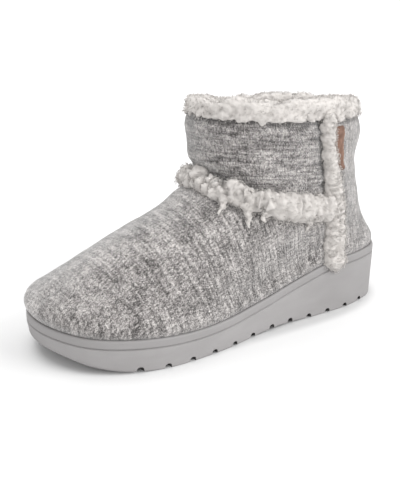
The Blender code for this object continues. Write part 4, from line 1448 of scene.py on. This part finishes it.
def light_scene():
    """A bright white studio: an even surround, a large soft key from above, a side light and a front fill.
    The camera sees the surround white, and the floor with a glow that fades towards the shoe."""
    world = bpy.data.worlds.new("studio")
    world.use_nodes = True
    tree = world.node_tree
    shown = tree.nodes["World Output"].inputs["Surface"]
    tree.nodes.remove(tree.nodes["Background"])
    sky = add_node(tree, "ShaderNodeBackground", (WHITE, WORLD_LIGHT))
    seen = add_node(tree, "ShaderNodeBackground", (WHITE, 1.0))
    camera_ray = add_node(tree, "ShaderNodeLightPath", (), "Is Camera Ray")
    tree.links.new(add_node(tree, "ShaderNodeMixShader", (camera_ray, sky, seen)), shown)
    bpy.context.scene.world = world
    bpy.context.scene.view_settings.view_transform = "Standard"
    for name, place, size, power in LIGHTS:
        data = bpy.data.lights.new(name, "AREA")
        data.shape, data.size, data.energy = "DISK", size, power
        lamp = link_object(name, data)
        lamp.location = place
        lamp.rotation_euler = (Vector(LAMP_AIM) - Vector(place)).to_track_quat("-Z", "Y").to_euler()
    white = Finish("studio_white", Base_Color=FLOOR_TONE, Roughness=0.9, Specular_IOR_Level=0.0)
    x, y, _ = white.split(white.place())
    nearer = x * TOWARDS_CAMERA[0] + y * TOWARDS_CAMERA[1]
    glow = (x * x + y * y).between(0.05, 0.60) * 0.5 + (0.10 - nearer).between(0.0, 0.12) * 0.12 + FLOOR_GLOW
    glow = glow * ((x / FLOOR_SHADE[0]) ** 4.0 + (y / FLOOR_SHADE[1]) ** 2.0).between(0.80, 1.15)
    plain = white.shader.outputs[0]
    lit = white.node("ShaderNodeEmission", {"Strength": glow})
    lit = white.node("ShaderNodeAddShader", (plain, lit))
    camera_ray = white.node("ShaderNodeLightPath", output="Is Camera Ray")
    mixed = white.node("ShaderNodeMixShader", (camera_ray, plain, lit))
    white.tree.links.new(mixed.socket, white.tree.nodes["Material Output"].inputs["Surface"])
    corners = [(a * FLOOR_REACH, b * FLOOR_REACH, 0) for a, b in ((-1, -1), (1, -1), (1, 1), (-1, 1))]
    floor = surface("studio_floor", corners, [(0, 1, 2, 3)], (white.material,))
    floor.location.z = -FLOOR_DROP


aim_camera()
light_scene()
knit = knit_finish()
fleece = fleece_finish("curly_fleece", FLEECE_LIGHT, FLEECE_DARK)
lining = fleece_finish("lining_pile", FLEECE_LIGHT, FLEECE_DARK)
rubber = sole_finish("moulded_sole", *SOLE_TONES)
shaded_rubber = sole_finish("channel_rubber", *CHANNEL_SHADE_TONES)
leather = leather_finish()
thread = thread_finish()

curl_tree = fur_tree()
curl_shapes = [curl_mesh(*row) for row in CURLS]

knit_upper = make_knit(knit, lining)
sole_piece = make_fine_sole(rubber, shaded_rubber)
collar_piece = make_fleece_collar(fleece)
band_piece = make_band_fleece(fleece)
outer_strip = make_strip_fleece("outer_strip_fleece", 1, fleece)
inner_strip = make_strip_fleece("inner_strip_fleece", -1, fleece)
footbed = make_footbed(lining)
tab, stitches = make_leather_tab(leather, thread)
for curl_object in curl_shapes:
    bpy.data.objects.remove(curl_object, do_unlink=True)

for piece, node, slot in (
    (knit_upper, "upper", "knit"),
    (sole_piece, "sole", "moulded_sole"),
    (collar_piece, "fleece_collar", "fleece"),
    (band_piece, "ankle_band", "fleece"),
    (outer_strip, "side_strip_outer", "fleece"),
    (inner_strip, "side_strip_inner", "fleece"),
    (footbed, "insole", "fleece"),
    (tab, "badge", "leather"),
):
    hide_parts(node)
    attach(piece, "root")
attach(stitches, "root")
